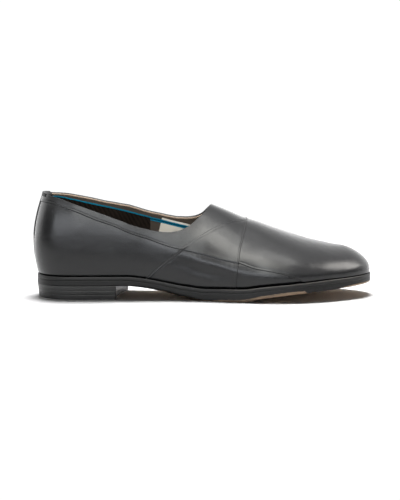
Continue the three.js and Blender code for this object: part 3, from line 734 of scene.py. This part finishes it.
def rows_between(low, high, near_low, near_high, count, rise):
    """Shares from low to high: first rows at the given millimetres above low, last rows below high, and
    between them rows spaced so that they are even over the crown."""
    room = np.maximum(high - low, 1e-4)
    first = np.minimum(low + np.array(near_low)[:, None] / rise, low + 0.3 * room)
    last = np.maximum(high - np.array(near_high)[::-1, None] / rise, high - 0.3 * room)
    start, stop = np.arcsin(np.clip(first[-1], 0, 1)), np.arcsin(np.clip(last[0], 0, 1))
    s = np.linspace(0, 1, count + 2)[1:-1, None]
    return np.concatenate([first, np.sin(start + (stop - start) * s), last])


def build_quarter():
    """The panel under the collar seam: from the welt up to just under the lap of the collar band."""
    c = columns_at(TURNS[at_of(TURNS) < QUARTER_END])
    rise = c["rise"]
    seam = crossing(c, collar_seam_height)
    top = np.minimum(seam + 2.0 / rise, 0.97)
    share = rows_between(0 * top, top, [0, 0.3, 0.6, 1.0, 1.5, 2.2], [0, 0.8, 1.4, 1.8, 2.1, 2.4, 2.8, 3.3, 4, 5],
                         44, rise)
    height = share * rise
    rest = last_point(c, share, 0.0)
    out = tuck(height) + hollow((share - seam) * rise, -0.3, 0.9, 0.06) + soft_forms(rest[..., 0], height)
    points = last_point(c, share, out)
    points[0, :, 2] -= 2 * FIT
    calf_panel("quarter", points)


def build_collar_and_vamp():
    """Everything above the collar seam, with its lapped lower edge and the stitch hollow above it."""
    share = rows_between(SEAM_SHARE, TOP_SHARE, [0, 0.06, 0.15, 0.3, 0.5, 0.75, 1.0, 1.3, 1.6, 1.9, 2.3, 2.8],
                         [0, 0.4, 0.9, 1.6], 88, RISE)
    distance = (share - SEAM_SHARE) * RISE
    seamed = SEAM_SHARE > 0.002
    rest = last_point(COLUMNS, share, 0.0)
    out = lap(distance, COLLAR_STEP) + seamed * hollow(distance, 1.7, 0.45, 0.12)
    out = out + soft_forms(rest[..., 0], share * RISE) * ease(0, 4, (TOP_SHARE - share) * RISE)
    points = last_point(COLUMNS, share, out)
    points[0, :, 2] -= np.where(seamed, 0, 2 * FIT)
    calf_panel("vamp_and_collar", points, np.where(seamed, distance, 5.0), closed=True)


SADDLE_FOOT = 0.3265
SEAM_POINTS = 240


def saddle_corner_paths(side):
    """The saddle's two seams as (x, height above the welt), from the welt up to the peak."""
    s = np.linspace(0, 1, SEAM_POINTS)
    at = SADDLE_FOOT + (SADDLE_SEAM["at"][-1] - SADDLE_FOOT) * s
    rear = np.stack([at * SOLE_LENGTH, np.maximum(0, THROAT_RISE * follow(SADDLE_SEAM, "of_throat", at))], -1)
    curve = {"at": SADDLE_FRONT["of_throat"][::-1], "away": SADDLE_FRONT["lateral" if side < 0 else "medial"][::-1]}
    reach = SADDLE_FRONT["of_throat"][0] * np.sin(s * math.pi / 2)
    x = SADDLE_PEAK + THROAT_RISE * follow(curve, "away", reach)
    base = welt_top(SADDLE_PEAK / SOLE_LENGTH) - welt_top(x / SOLE_LENGTH)
    front = np.stack([x, np.maximum(0, THROAT_RISE * reach + base * ease(0, 6, THROAT_RISE * reach))], -1)
    return rear, front


def above_seam(x, z):
    """Distance above the collar seam, square to its mean slope."""
    return (z - collar_seam_height(x)) * 0.94


def nearest_gap(points, path):
    """Distance from each point to the nearest of a path's points."""
    flat = points.reshape(-1, 3)
    gap = np.full(len(flat), 1e9)
    for block in np.array_split(path, max(1, len(path) // 40)):
        gap = np.minimum(gap, ((flat[:, None] - block[None]) ** 2).sum(-1).min(1))
    return np.sqrt(gap).reshape(points.shape[:-1])


def build_saddle(side):
    """The band over the instep: ruled between its two seams, each a lapped edge, the rear one with a bead.

    Where the collar seam passes under it, the band steps up with the collar."""
    rear, front = saddle_corner_paths(side)
    s = np.linspace(0, 1, 170) ** 0.9
    t = (1 - np.cos(np.linspace(0, math.pi, 100)))[None, :, None] / 2
    grid = np.linspace(0, 1, SEAM_POINTS)
    a, b = (np.stack([np.interp(s, grid, path[:, k]) for k in (0, 1)], -1)[:, None] for path in (rear, front))
    flat = a * (1 - t) + b * t
    x, height = flat[..., 0], flat[..., 1]
    z = foot_height(x / SOLE_LENGTH) + height
    ground = on_last(x, z, side, 0.0)
    above = above_seam(x, z)
    to_rear, to_front = nearest_gap(ground, ground[:, 0]), nearest_gap(ground, ground[:, -1])
    bead = 0.55 * np.exp(-((to_rear - 1.3) / 0.8) ** 2) * ease(6, -2, above)
    pucker = 0.05 * np.sin(2 * math.pi * x / 4.6) * np.exp(-((above + 4.5) / 3.2) ** 2) * ease(228, 210, x)
    out = SADDLE_STEP * np.minimum(lap(to_rear, 1.0), lap(to_front, 1.0)) + lap(above + 0.35, COLLAR_STEP)
    out = out + bead + pucker + hollow(to_rear, 2.6, 0.5, 0.10) + hollow(to_front, 1.7, 0.45, 0.10)
    out = out + tuck(height) + soft_forms(x, height)
    to_lap = np.abs(above + 0.1)
    to_lap = np.where(to_lap < 3, to_lap + 0.25, 5.0)
    points = on_last(x, z, side, out)
    points[0, :, 2] -= 2 * FIT
    calf_panel(f"saddle_{word_for(side)}", points, np.minimum(np.minimum(to_rear, to_front), to_lap))


def build_back_strip():
    """The strip over the back seam: seen from behind, even in width with a round foot."""
    c = columns_at(np.zeros(1))
    top = float((c["foot"] + c["rise"] * crossing(c, topline_height))[0])
    low = float(welt_top(0.0)) + BACK_STRIP_FOOT
    s = np.linspace(0, 1, 90)[:, None] ** 1.25
    z = low + (top - low) * s
    half = BACK_STRIP_WIDTH / 2
    width = half * np.sqrt(np.maximum(0.0004, 1 - np.clip(1 - (z - low) / half, 0, 1) ** 2))
    across = np.sin(np.linspace(-math.pi / 2, math.pi / 2, 28))[None]
    y = width * across
    from_side = width - np.abs(y)
    from_foot = (z - low) * np.ones_like(y)
    edge = np.minimum(from_side, np.where(from_foot < half, half - np.hypot(y, half - from_foot), from_side))
    skived = 0.3 + 0.7 * ease(0, 30, from_foot)
    out = skived * lap(np.maximum(edge, 0), BACK_STRIP_STEP, 0.9) + hollow(edge, 1.6, 0.4, 0.12) - 0.05
    points = behind_last(y, z + 0 * y, out)
    calf_panel("back_strip", points)


def wall_strip(turns, below, out):
    """Points on the wall at distances below the topline (rows) for the given turns (columns)."""
    c = columns_at(turns)
    share = topline_share(c) - below / c["rise"]
    return last_point(c, share, out)


def build_topline():
    """The top edge: black leather rolled over from the outer face to the middle of the wall."""
    s = np.linspace(-0.25, 1, 10)[:, None] * math.pi
    middle, half = (COLLAR_STEP - 1.0) / 2, (COLLAR_STEP + 1.0) / 2
    out = middle + half * np.cos(np.maximum(s, 0))
    points = wall_strip(BACK_HALF, np.where(s < 0, -s, 0) * 1.2 + 0 * BACK_HALF, out)
    points[..., 2] += 0.45 * np.sin(np.maximum(s, 0)) - 0.1
    calf_panel("topline_roll", points, axis_z=70)


def build_lining():
    """The inside of the shoe: the wall's inner face, from the topline down under the insole's edge."""
    share = np.linspace(0, 1, 70)[:, None] * np.arcsin(TOP_SHARE)
    inside_layer("lining", [(last_point(COLUMNS, np.sin(share), -WALL), True)], LINING, "upper")


def build_lining_edge():
    """The lining's cut edge: a tan bead, 1.2 mm wide, along the inner side of the topline."""
    s = np.linspace(0, math.pi, 9)[:, None]
    out = -1.0 - 0.62 * (1 - np.cos(s)) - 0.1 * np.sin(s)
    below = np.maximum(0, -np.cos(s)) * 0.3 - 0.25 * np.sin(s)
    points = wall_strip(BACK_HALF, below, out)
    inside_layer("lining_edge", [(points, False)], RAW_EDGE, "upper", axis_z=60)


# The blue tape inside, on the inner side of the foot: heights over x
TAPE_LINE = {"at": np.array([4, 14.8, 27, 42.9, 66.1, 81.7, 100.1, 110.4, 122.0, 135.1, 155.0]) / SOLE_LENGTH,
             "z": np.array([89.3, 88.4, 85.7, 82.1, 77.3, 73.8, 69.4, 67.2, 64.3, 61.2, 55.8])}
THIN_TAPE_END = 100.5
RIBBON_END = 158.0


def turn_at(x, side):
    return float(turn_of(x / SOLE_LENGTH, side))


def tape_height(x, side):
    """Height of the tape. On the outer side it keeps the same distance below that side's lower topline."""
    z = follow(TAPE_LINE, "z", x / SOLE_LENGTH)
    lower = topline_height(x, MEDIAL) - topline_height(x, LATERAL)
    return np.where(side < 0, z - lower, z)


def inside_band(turns, offsets, out):
    """Points on the lining at distances below the tape's line (rows) for the given turns (columns)."""
    c = columns_at(turns)
    return last_point(c, crossing(c, tape_height) - offsets / c["rise"], out)


def build_thin_tape():
    """Narrow blue tape round the heel: a flat half round 1.3 mm wide and 0.4 mm thick."""
    end = turn_at(THIN_TAPE_END, LATERAL)
    s = np.linspace(0, math.pi, 7)[:, None]
    points = inside_band(np.linspace(-end, end, 260), 0.65 - 0.65 * np.cos(s), -WALL - 0.4 * np.sin(s) - 0.15)
    inside_layer("thin_blue_tape", [(points, False)], TAPE, axis_z=60)


def build_ribbon(side):
    """Wide blue ribbon along the front half: two raised edges, each 1 mm, with a flat darker middle."""
    turns = np.linspace(turn_at(THIN_TAPE_END - 0.5, side), turn_at(RIBBON_END, side), 120)
    s = np.linspace(0, math.pi, 6)[:, None]
    edges = [(inside_band(turns, low + 0.5 - 0.5 * np.cos(s), -WALL - 0.75 - 0.3 * np.sin(s)), False)
             for low in (0.0, 2.3)]
    middle = inside_band(turns, np.linspace(0.2, 3.1, 6)[:, None], -WALL - 0.7)
    inside_layer(f"ribbon_edges_{word_for(side)}", edges, TAPE, axis_z=50)
    inside_layer(f"ribbon_middle_{word_for(side)}", [(middle, False)], DARK_TAPE, axis_z=50)


def build_heel_grip():
    """Suede grip round the inside of the heel, from the tape down to the insole, 0.4 mm thick."""
    end = turn_at(THIN_TAPE_END - 0.5, LATERAL)
    turns = np.linspace(-end, end, 240)
    c = columns_at(turns)
    top = crossing(c, tape_height) - 0.9 / c["rise"]
    share = 0.02 + (top - 0.02) * np.linspace(0, 1, 60)[:, None]
    from_end = np.clip((end - np.abs(turns)) * 60, 0, 1)
    thick = 0.4 * np.sqrt(from_end) * np.sqrt(np.clip((top - share) * c["rise"] / 0.6, 0, 1))
    inside_layer("heel_grip", [(last_point(c, share, -WALL - thick), False)], SUEDE, axis_z=45)


def build_patch():
    """Bare white patch on the inner side, sewn under the ribbon: a slanted sheet over the lining."""
    width, height = 36.0, 15.5
    s, t = np.linspace(0, 1, 40)[:, None], np.linspace(0, 1, 60)[None]
    x = 110.4 - 3.4 * s + width * t
    z = follow(TAPE_LINE, "z", x / SOLE_LENGTH) + 1.4 - height * s
    edge = np.minimum(np.minimum(s, 1 - s) * height, np.minimum(t, 1 - t) * width)
    points = on_last(x, z, MEDIAL, -WALL - 0.25 - 0.35 * np.sqrt(np.clip(edge / 0.5, 0, 1)))
    inside_layer("bare_patch", [(points, False)], PATCH, axis_z=50)


# The folded tab over the back: its thickness, how far it comes down outside, the width of the fold over the
# rim, and how far it comes down inside, in millimetres
TAB_THICKNESS, TAB_OUTSIDE, TAB_FOLD, TAB_INSIDE = 0.8, 2.5, 4.5, 8.0
# Its half width as a multiple of the back strip's width, taken as a turn round the heel
TAB_REACH = 3.6


def build_heel_tab():
    """Folded tab over the back: from the outer face over the rim and down inside, rounded at its edges."""
    heel_half_width = BALL_WIDTH * OUTLINE["lateral"][0]
    end = BACK_STRIP_WIDTH / heel_half_width * math.sqrt(HEEL_ROUND / (HEEL_POWER * SOLE_LENGTH)) * TAB_REACH
    turns = np.linspace(-end, end, 90)
    from_end = 1 - np.abs(turns) / end
    thick = TAB_THICKNESS * quarter_round(from_end / 0.05)
    outside, inside = BACK_STRIP_STEP - 0.1, -WALL - 0.3
    length = TAB_OUTSIDE + TAB_FOLD + TAB_INSIDE
    travelled = np.linspace(0, length, 64)[:, None]
    up = np.clip(travelled / TAB_OUTSIDE, 0, 1)
    over = np.clip((travelled - TAB_OUTSIDE) / TAB_FOLD, 0, 1)
    down = np.clip((travelled - TAB_OUTSIDE - TAB_FOLD) / TAB_INSIDE, 0, 1)
    rounding = np.minimum(quarter_round(travelled), quarter_round(length - travelled))
    lift = thick * rounding * (0.25 + 0.75 * ease(1, 5, travelled))
    middle, half = (outside + inside) / 2, (outside - inside) / 2
    out = middle + (half + lift) * np.cos(over * math.pi)
    below = TAB_OUTSIDE * (1 - up) + TAB_INSIDE * down
    points = wall_strip(turns, below + 0 * lift, out)
    points[..., 2] += (0.4 + lift) * np.sin(over * math.pi)
    piece("heel_tab_fold", [(points, False)], TAB_LEATHER, "heel_tab", axis_z=88)


# The sole

SOLE_X, SOLE_Y = outline(ROUND)
SOLE_NX, SOLE_NY = outline_normal(ROUND)


def sole_loop(inward, height):
    return np.stack([SOLE_X - SOLE_NX * inward, SOLE_Y - SOLE_NY * inward, height + 0 * SOLE_X], -1)


def sole_faces(loop, count=24, crown=0.0):
    """Fills a loop with straight lines across the foot, from the outer edge to the inner one."""
    k = np.arange(len(STATIONS))
    a, b = loop[k], loop[(len(ROUND) - k) % len(ROUND)]
    t = np.linspace(0, 1, count)[:, None, None]
    filled = a * (1 - t) + b * t
    filled[..., 2] += crown * 4 * t[..., 0] * (1 - t[..., 0])
    return filled


def build_welt():
    """Welt: a flat strip with a rounded, wheeled upper edge and a joint to the outsole under it."""
    low, high = welt_top(COLUMNS["at"]) - WELT_THICKNESS, welt_top(COLUMNS["at"])
    inner = COLUMNS["welt"] + WALL
    rows = [(inner, low), (0.4, low - 0.22), (0.1, low - 0.18), (0.0, low), (-0.04, (low + high) / 2),
            (0.0, high - 0.55), (0.12, high - 0.2), (0.4, high), (0.8, high - 0.05), (1.1, high - 0.25),
            (inner, high - 0.3), (inner, low)]
    points = np.stack([sole_loop(d, h) for d, h in rows])
    seam = np.stack([np.full(len(ROUND), v) for v in (0.0, 0.0, 0.1, 0.4, 2, 2, 2, 2, 2, 0.3, 0.2, 0.0)])
    # Painted highlight on the welt's top edge over the forefoot, where that edge catches light
    top = np.array([0, 0, 0, 0, 0, 0.2, 1, 1, 1, 0, 0, 0])[:, None]
    painted_highlight = top * ease(0.52, 0.60, COLUMNS["at"]) * ease(1.0, 0.93, COLUMNS["at"])
    piece("welt_strip", [(points, True)], WELT_EDGE, "welt", {"seam": [seam], "painted_highlight": [painted_highlight]},
          axis_z=16)


# How high the raw tan edge shows above the tread, in millimetres, along the sole
RAW_EDGE_HEIGHT = table(("at", "raw"), [
    (0.00, -2.0), (0.30, -2.0), (0.35, 0.2), (0.42, 0.4), (0.50, 0.9), (0.58, 2.2), (0.66, 2.6), (0.73, 2.7),
    (0.79, 2.4), (0.80, -1.0), (0.88, -1.0), (0.92, 1.4), (0.97, 1.9), (1.00, 1.4)])


def build_outsole():
    """Outsole: bevelled tread edge, side and top, closed by lines across the foot. A shallow closed channel
    runs 6 mm inside the edge of the tread, and the mark "raw" turns positive on uninked leather."""
    at = COLUMNS["at"]
    bevel = TREAD_BEVEL * follow(BED, "bevel", at)
    low, high = tread_height(at), outsole_top(at)
    raw_height = follow(RAW_EDGE_HEIGHT, "raw", at)
    channel = (8.0, 6.6, 6.25, 6.0, 5.75, 5.4)
    sides = list(zip(channel, (low, low, low + 0.12, low + 0.18, low + 0.12, low)))
    sides += [(bevel + 1, low), (bevel, low), (bevel * 0.55, low + bevel * 0.12), (bevel * 0.2, low + bevel * 0.45),
              (0.0, low + bevel)]
    sides += [(0.0, low + bevel + (high - 0.35 - low - bevel) * k) for k in (0.15, 0.3, 0.45, 0.6, 0.8, 1.0)]
    sides += [(0.06, high - 0.1), (0.3, high), (5.0, high)]
    points = np.stack([sole_loop(d, h) for d, h in sides])
    raw = np.where(np.arange(len(sides))[:, None] < 7, 3.0, raw_height - (points[..., 2] - low))
    seam = [abs(d - 6.0) for d in channel] + [3.0] * (len(sides) - len(channel) - 3) + [0.5, 0.2, 0.0]
    tread, top = sole_faces(points[0]), sole_faces(points[-1], 8)
    piece("outsole_body", [(points, True), (tread, False), (top, False)],
          outsole_finish(), "outsole",
          {"raw": [raw, np.full(tread.shape[:2], 3.0), np.full(top.shape[:2], 3.0)],
           "seam": [np.array(seam)[:, None] + 0 * at, np.full(tread.shape[:2], 2.0), np.full(top.shape[:2], 2.0)]},
          axis_z=10)


def build_insole():
    """Insole with its sock lining: a rounded edge, and a top that dips 1.5 mm along its middle."""
    at = COLUMNS["at"]
    edge = COLUMNS["welt"] + WALL + FIT + 0.2
    low = outsole_top(at) + FIT
    high = low + INSOLE_THICKNESS
    sides = [(edge, low), (edge, high - 0.8), (edge + 0.3, high - 0.25), (edge + 1.0, high)]
    points = np.stack([sole_loop(d, h) for d, h in sides])
    top, under = sole_faces(points[-1], 40, -1.5), sole_faces(points[0], 8)
    piece("sock_and_insole", [(points, True), (top, False), (under, False)], LINING, "insole", axis_z=14)


def heel_loop(inward, z):
    """The heel's outline: the sole's edge back of the breast, and the hollow breast across, drawn in."""
    turns = np.linspace(turn_at(BREAST[MEDIAL], MEDIAL), turn_at(BREAST[LATERAL], LATERAL), 200)
    x, y = outline(turns)
    nx, ny = outline_normal(turns)
    x, y = x - nx * inward, y - ny * inward
    t = np.linspace(0, 1, 42)[1:-1]
    bx = x[-1] + (x[0] - x[-1]) * t - BREAST_HOLLOW * 4 * t * (1 - t) - inward * 0.5
    by = y[-1] + (y[0] - y[-1]) * t
    x, y = np.concatenate([x, bx]), np.concatenate([y, by])
    return np.stack([x, y, np.full_like(x, z)], -1)


def heel_cap(loop):
    """Fills the loop with smaller copies of itself about its middle."""
    middle = loop.mean(0)
    return middle + (loop - middle) * np.linspace(1, 0, 12)[:, None, None]


def build_heel_layer(low, high, name, node, finish, slot, joint):
    """One layer of the heel with slightly rounded edges, following the heel's taper."""
    def taper(z):
        return HEEL_TAPER * (1 - z / HEEL_HEIGHT)
    soft = 0.25
    sides = [(taper(low) + 0.2, low), (taper(low) + 0.05, low + 0.08), (taper(low), low + soft)]
    sides += [(taper(z), z) for z in np.linspace(low + soft, high - soft, 6)[1:]]
    sides += [(taper(high) + 0.05, high - 0.08), (taper(high) + 0.2, high)]
    points = np.stack([heel_loop(d, z) for d, z in sides])
    under, top = heel_cap(points[0]), heel_cap(points[-1])
    gap = np.minimum(points[..., 2] - low, high - points[..., 2])
    middle = (low + high) / 2
    if joint:
        gap = np.minimum(gap, np.abs(points[..., 2] - middle) + 0.17)
    piece(name, [(points, True), (under, True), (top, True)], finish, node,
          {"seam": [gap, np.full(under.shape[:2], 2.0), np.full(top.shape[:2], 2.0)]}, axis_z=middle)


def sewing():
    """Thread rows: above the collar seam and inside the saddle's edges."""
    rows = []
    for side in (LATERAL, MEDIAL):
        x = np.linspace(6.0, 0.765 * SOLE_LENGTH, 500)
        rear, front = saddle_corner_paths(side)
        rows.append(sewn_row(x, collar_seam_height(x) + 1.75, side, COLLAR_STEP - 0.1))
        for path, inward, stop in ((rear, 3.0, 0.86), (front, -1.9, 0.97)):
            part = path[6:int(SEAM_POINTS * stop)]
            x = part[:, 0] + inward
            z = foot_height(x / SOLE_LENGTH) + part[:, 1]
            raised = SADDLE_STEP + lap(above_seam(x, z) + 0.35, COLLAR_STEP)
            rows.append(sewn_row(x, z, side, raised - 0.1))
    stitches("panel_stitches", rows, BLACK_THREAD)


build_quarter()
build_collar_and_vamp()
build_saddle(LATERAL)
build_saddle(MEDIAL)
build_back_strip()
build_topline()
build_lining()
build_lining_edge()
build_thin_tape()
build_ribbon(MEDIAL)
build_ribbon(LATERAL)
build_heel_grip()
build_patch()
build_heel_tab()
build_welt()
build_outsole()
build_insole()
for low, high, layer in zip(HEEL_JOINTS, HEEL_JOINTS[1:], (
        ("top_piece", "heel_top_piece", HEEL_RUBBER, "heel_rubber", False),
        ("lower_lift", "heel_lift_1", LIFT_EDGE, "edge_leather", True),
        ("upper_lift", "heel_lift_2", LIFT_EDGE, "edge_leather", True))):
    build_heel_layer(low, high, *layer)
sewing()


# Floor, light and camera

def build_floor():
    """A pale matt table, and nothing round it."""
    finish, tree, shader, where = new_finish("pale_table")
    set_inputs(tree, shader, {
        "Base Color": mix_colour(tree, noise(tree, where, 2.0), (0.92, 0.92, 0.92, 1), (0.94, 0.94, 0.94, 1)),
        "Roughness": 0.9, "Specular IOR Level": 0.1})
    mesh = bpy.data.meshes.new("table")
    mesh.from_pydata([(-1.2, -0.47, 0), (1.2, -0.47, 0), (1.2, 0.5, 0), (-1.2, 0.5, 0)], [], [(0, 1, 2, 3)])
    mesh.materials.append(finish)
    made = bpy.data.objects.new("table", mesh)
    bpy.context.collection.objects.link(made)


def panel(name, azimuth, elevation, distance, width, height, radiance, tint=(1, 1, 1), seen_by="gloss"):
    """A softbox that faces the shoe: azimuth 0 is in front of its outer side, 90 ahead of the toe. Its power
    is its radiance times pi times its area. It shows in the gloss, or it lights matt colour. Returns its lamp."""
    turn, rise = math.radians(azimuth), math.radians(elevation)
    away = Vector((math.sin(turn) * math.cos(rise), -math.cos(turn) * math.cos(rise), math.sin(rise)))
    data = bpy.data.lights.new(name, "AREA")
    data.shape, data.size, data.size_y, data.color = "RECTANGLE", width, height, tint
    data.energy = radiance * math.pi * width * height
    made = bpy.data.objects.new(name, data)
    made.location = Vector((0, 0, 0.05)) + away * distance
    made.rotation_euler = (-away).to_track_quat("-Z", "Y").to_euler()
    made.visible_camera = False
    made.visible_diffuse = seen_by != "gloss"
    made.visible_glossy = seen_by != "colour"
    bpy.context.collection.objects.link(made)
    return made


build_floor()
panel("left_panel", -26, 10.5, 1.7, 2.1, 0.31, 5.6, (0.90, 0.94, 1.0))
panel("middle_panel", -1, 28, 1.7, 0.38, 0.80, 6.0, (0.97, 1.0, 0.98))
panel("high_panel", -11, 53, 1.5, 0.96, 0.56, 8.0, (1.0, 0.99, 0.93))
panel("overhead_panel", 26, 68, 1.5, 0.80, 0.5, 4.6, (1.0, 1.0, 0.96))
panel("toe_panel", 89, 34, 1.3, 0.62, 0.66, 8.0, (1.0, 0.97, 0.92))
panel("table_light", 180, 76, 1.6, 0.7, 0.5, 41.0, (1.0, 1.0, 1.0), "colour")
# This one reaches only the pieces inside the collar
inside_light = panel("inside_light", 0, 14, 1.5, 0.6, 0.6, 15.0, (1.0, 0.98, 0.95), "colour")
inside_light.light_linking.receiver_collection = INSIDE


def studio():
    """White backdrop behind the shoe, dark room in front. The camera sees plain white; gloss sees a brighter
    room: dim in front, darkest at the heel's side, brighter behind, towards the toe and overhead."""
    made = bpy.data.worlds.new("studio")
    made.use_nodes = True
    tree = made.node_tree
    background = tree.nodes["Background"]
    generated = tree.nodes.new("ShaderNodeTexCoord").outputs["Generated"]
    direction = add(tree, "ShaderNodeSeparateXYZ", {0: generated})
    x, y, z = (direction.outputs[axis] for axis in "XYZ")
    matt = ramp(tree, y, 0.0, 0.4, 0.02, 0.30)
    front, rear = ramp(tree, x, -0.95, -0.6, 0.25, 0.5), ramp(tree, z, 0.4, 0.6, 1.9, 1.35)
    front = sum_of(tree, "ADD", front, ramp(tree, z, 0.05, 0.5, 0.0, 1.1))
    turned = ramp(tree, y, 0.05, 0.4)
    gloss = sum_of(tree, "MULTIPLY_ADD", sum_of(tree, "SUBTRACT", rear, front), turned, front)
    gloss = sum_of(tree, "ADD", gloss, ramp(tree, z, 0.85, 0.98, 0.0, 1.2))
    path = tree.nodes.new("ShaderNodeLightPath").outputs
    lit = sum_of(tree, "MULTIPLY_ADD", sum_of(tree, "SUBTRACT", gloss, matt), path["Is Glossy Ray"], matt)
    tree.links.new(sum_of(tree, "MAXIMUM", lit, sum_of(tree, "MULTIPLY", path["Is Camera Ray"], 1.05)),
                   background.inputs["Strength"])
    background.inputs["Color"].default_value = (1, 1, 1, 1)
    bpy.context.scene.world = made
    bpy.context.scene.view_settings.view_transform = "Standard"


studio()
FOCAL_PIXELS, FRAME_PIXELS = 1372, 500
camera = bpy.data.objects.new("camera", bpy.data.cameras.new("camera"))
camera.data.sensor_width = 36.0
camera.data.lens = FOCAL_PIXELS / FRAME_PIXELS * 36.0
camera.location = (-0.0020, -1.2124, 0.1847)
camera.rotation_euler = (Vector((-0.0020, 0, 0.0401)) - camera.location).to_track_quat("-Z", "Y").to_euler()
bpy.context.collection.objects.link(camera)
bpy.context.scene.camera = camera

bpy.context.view_layer.update()
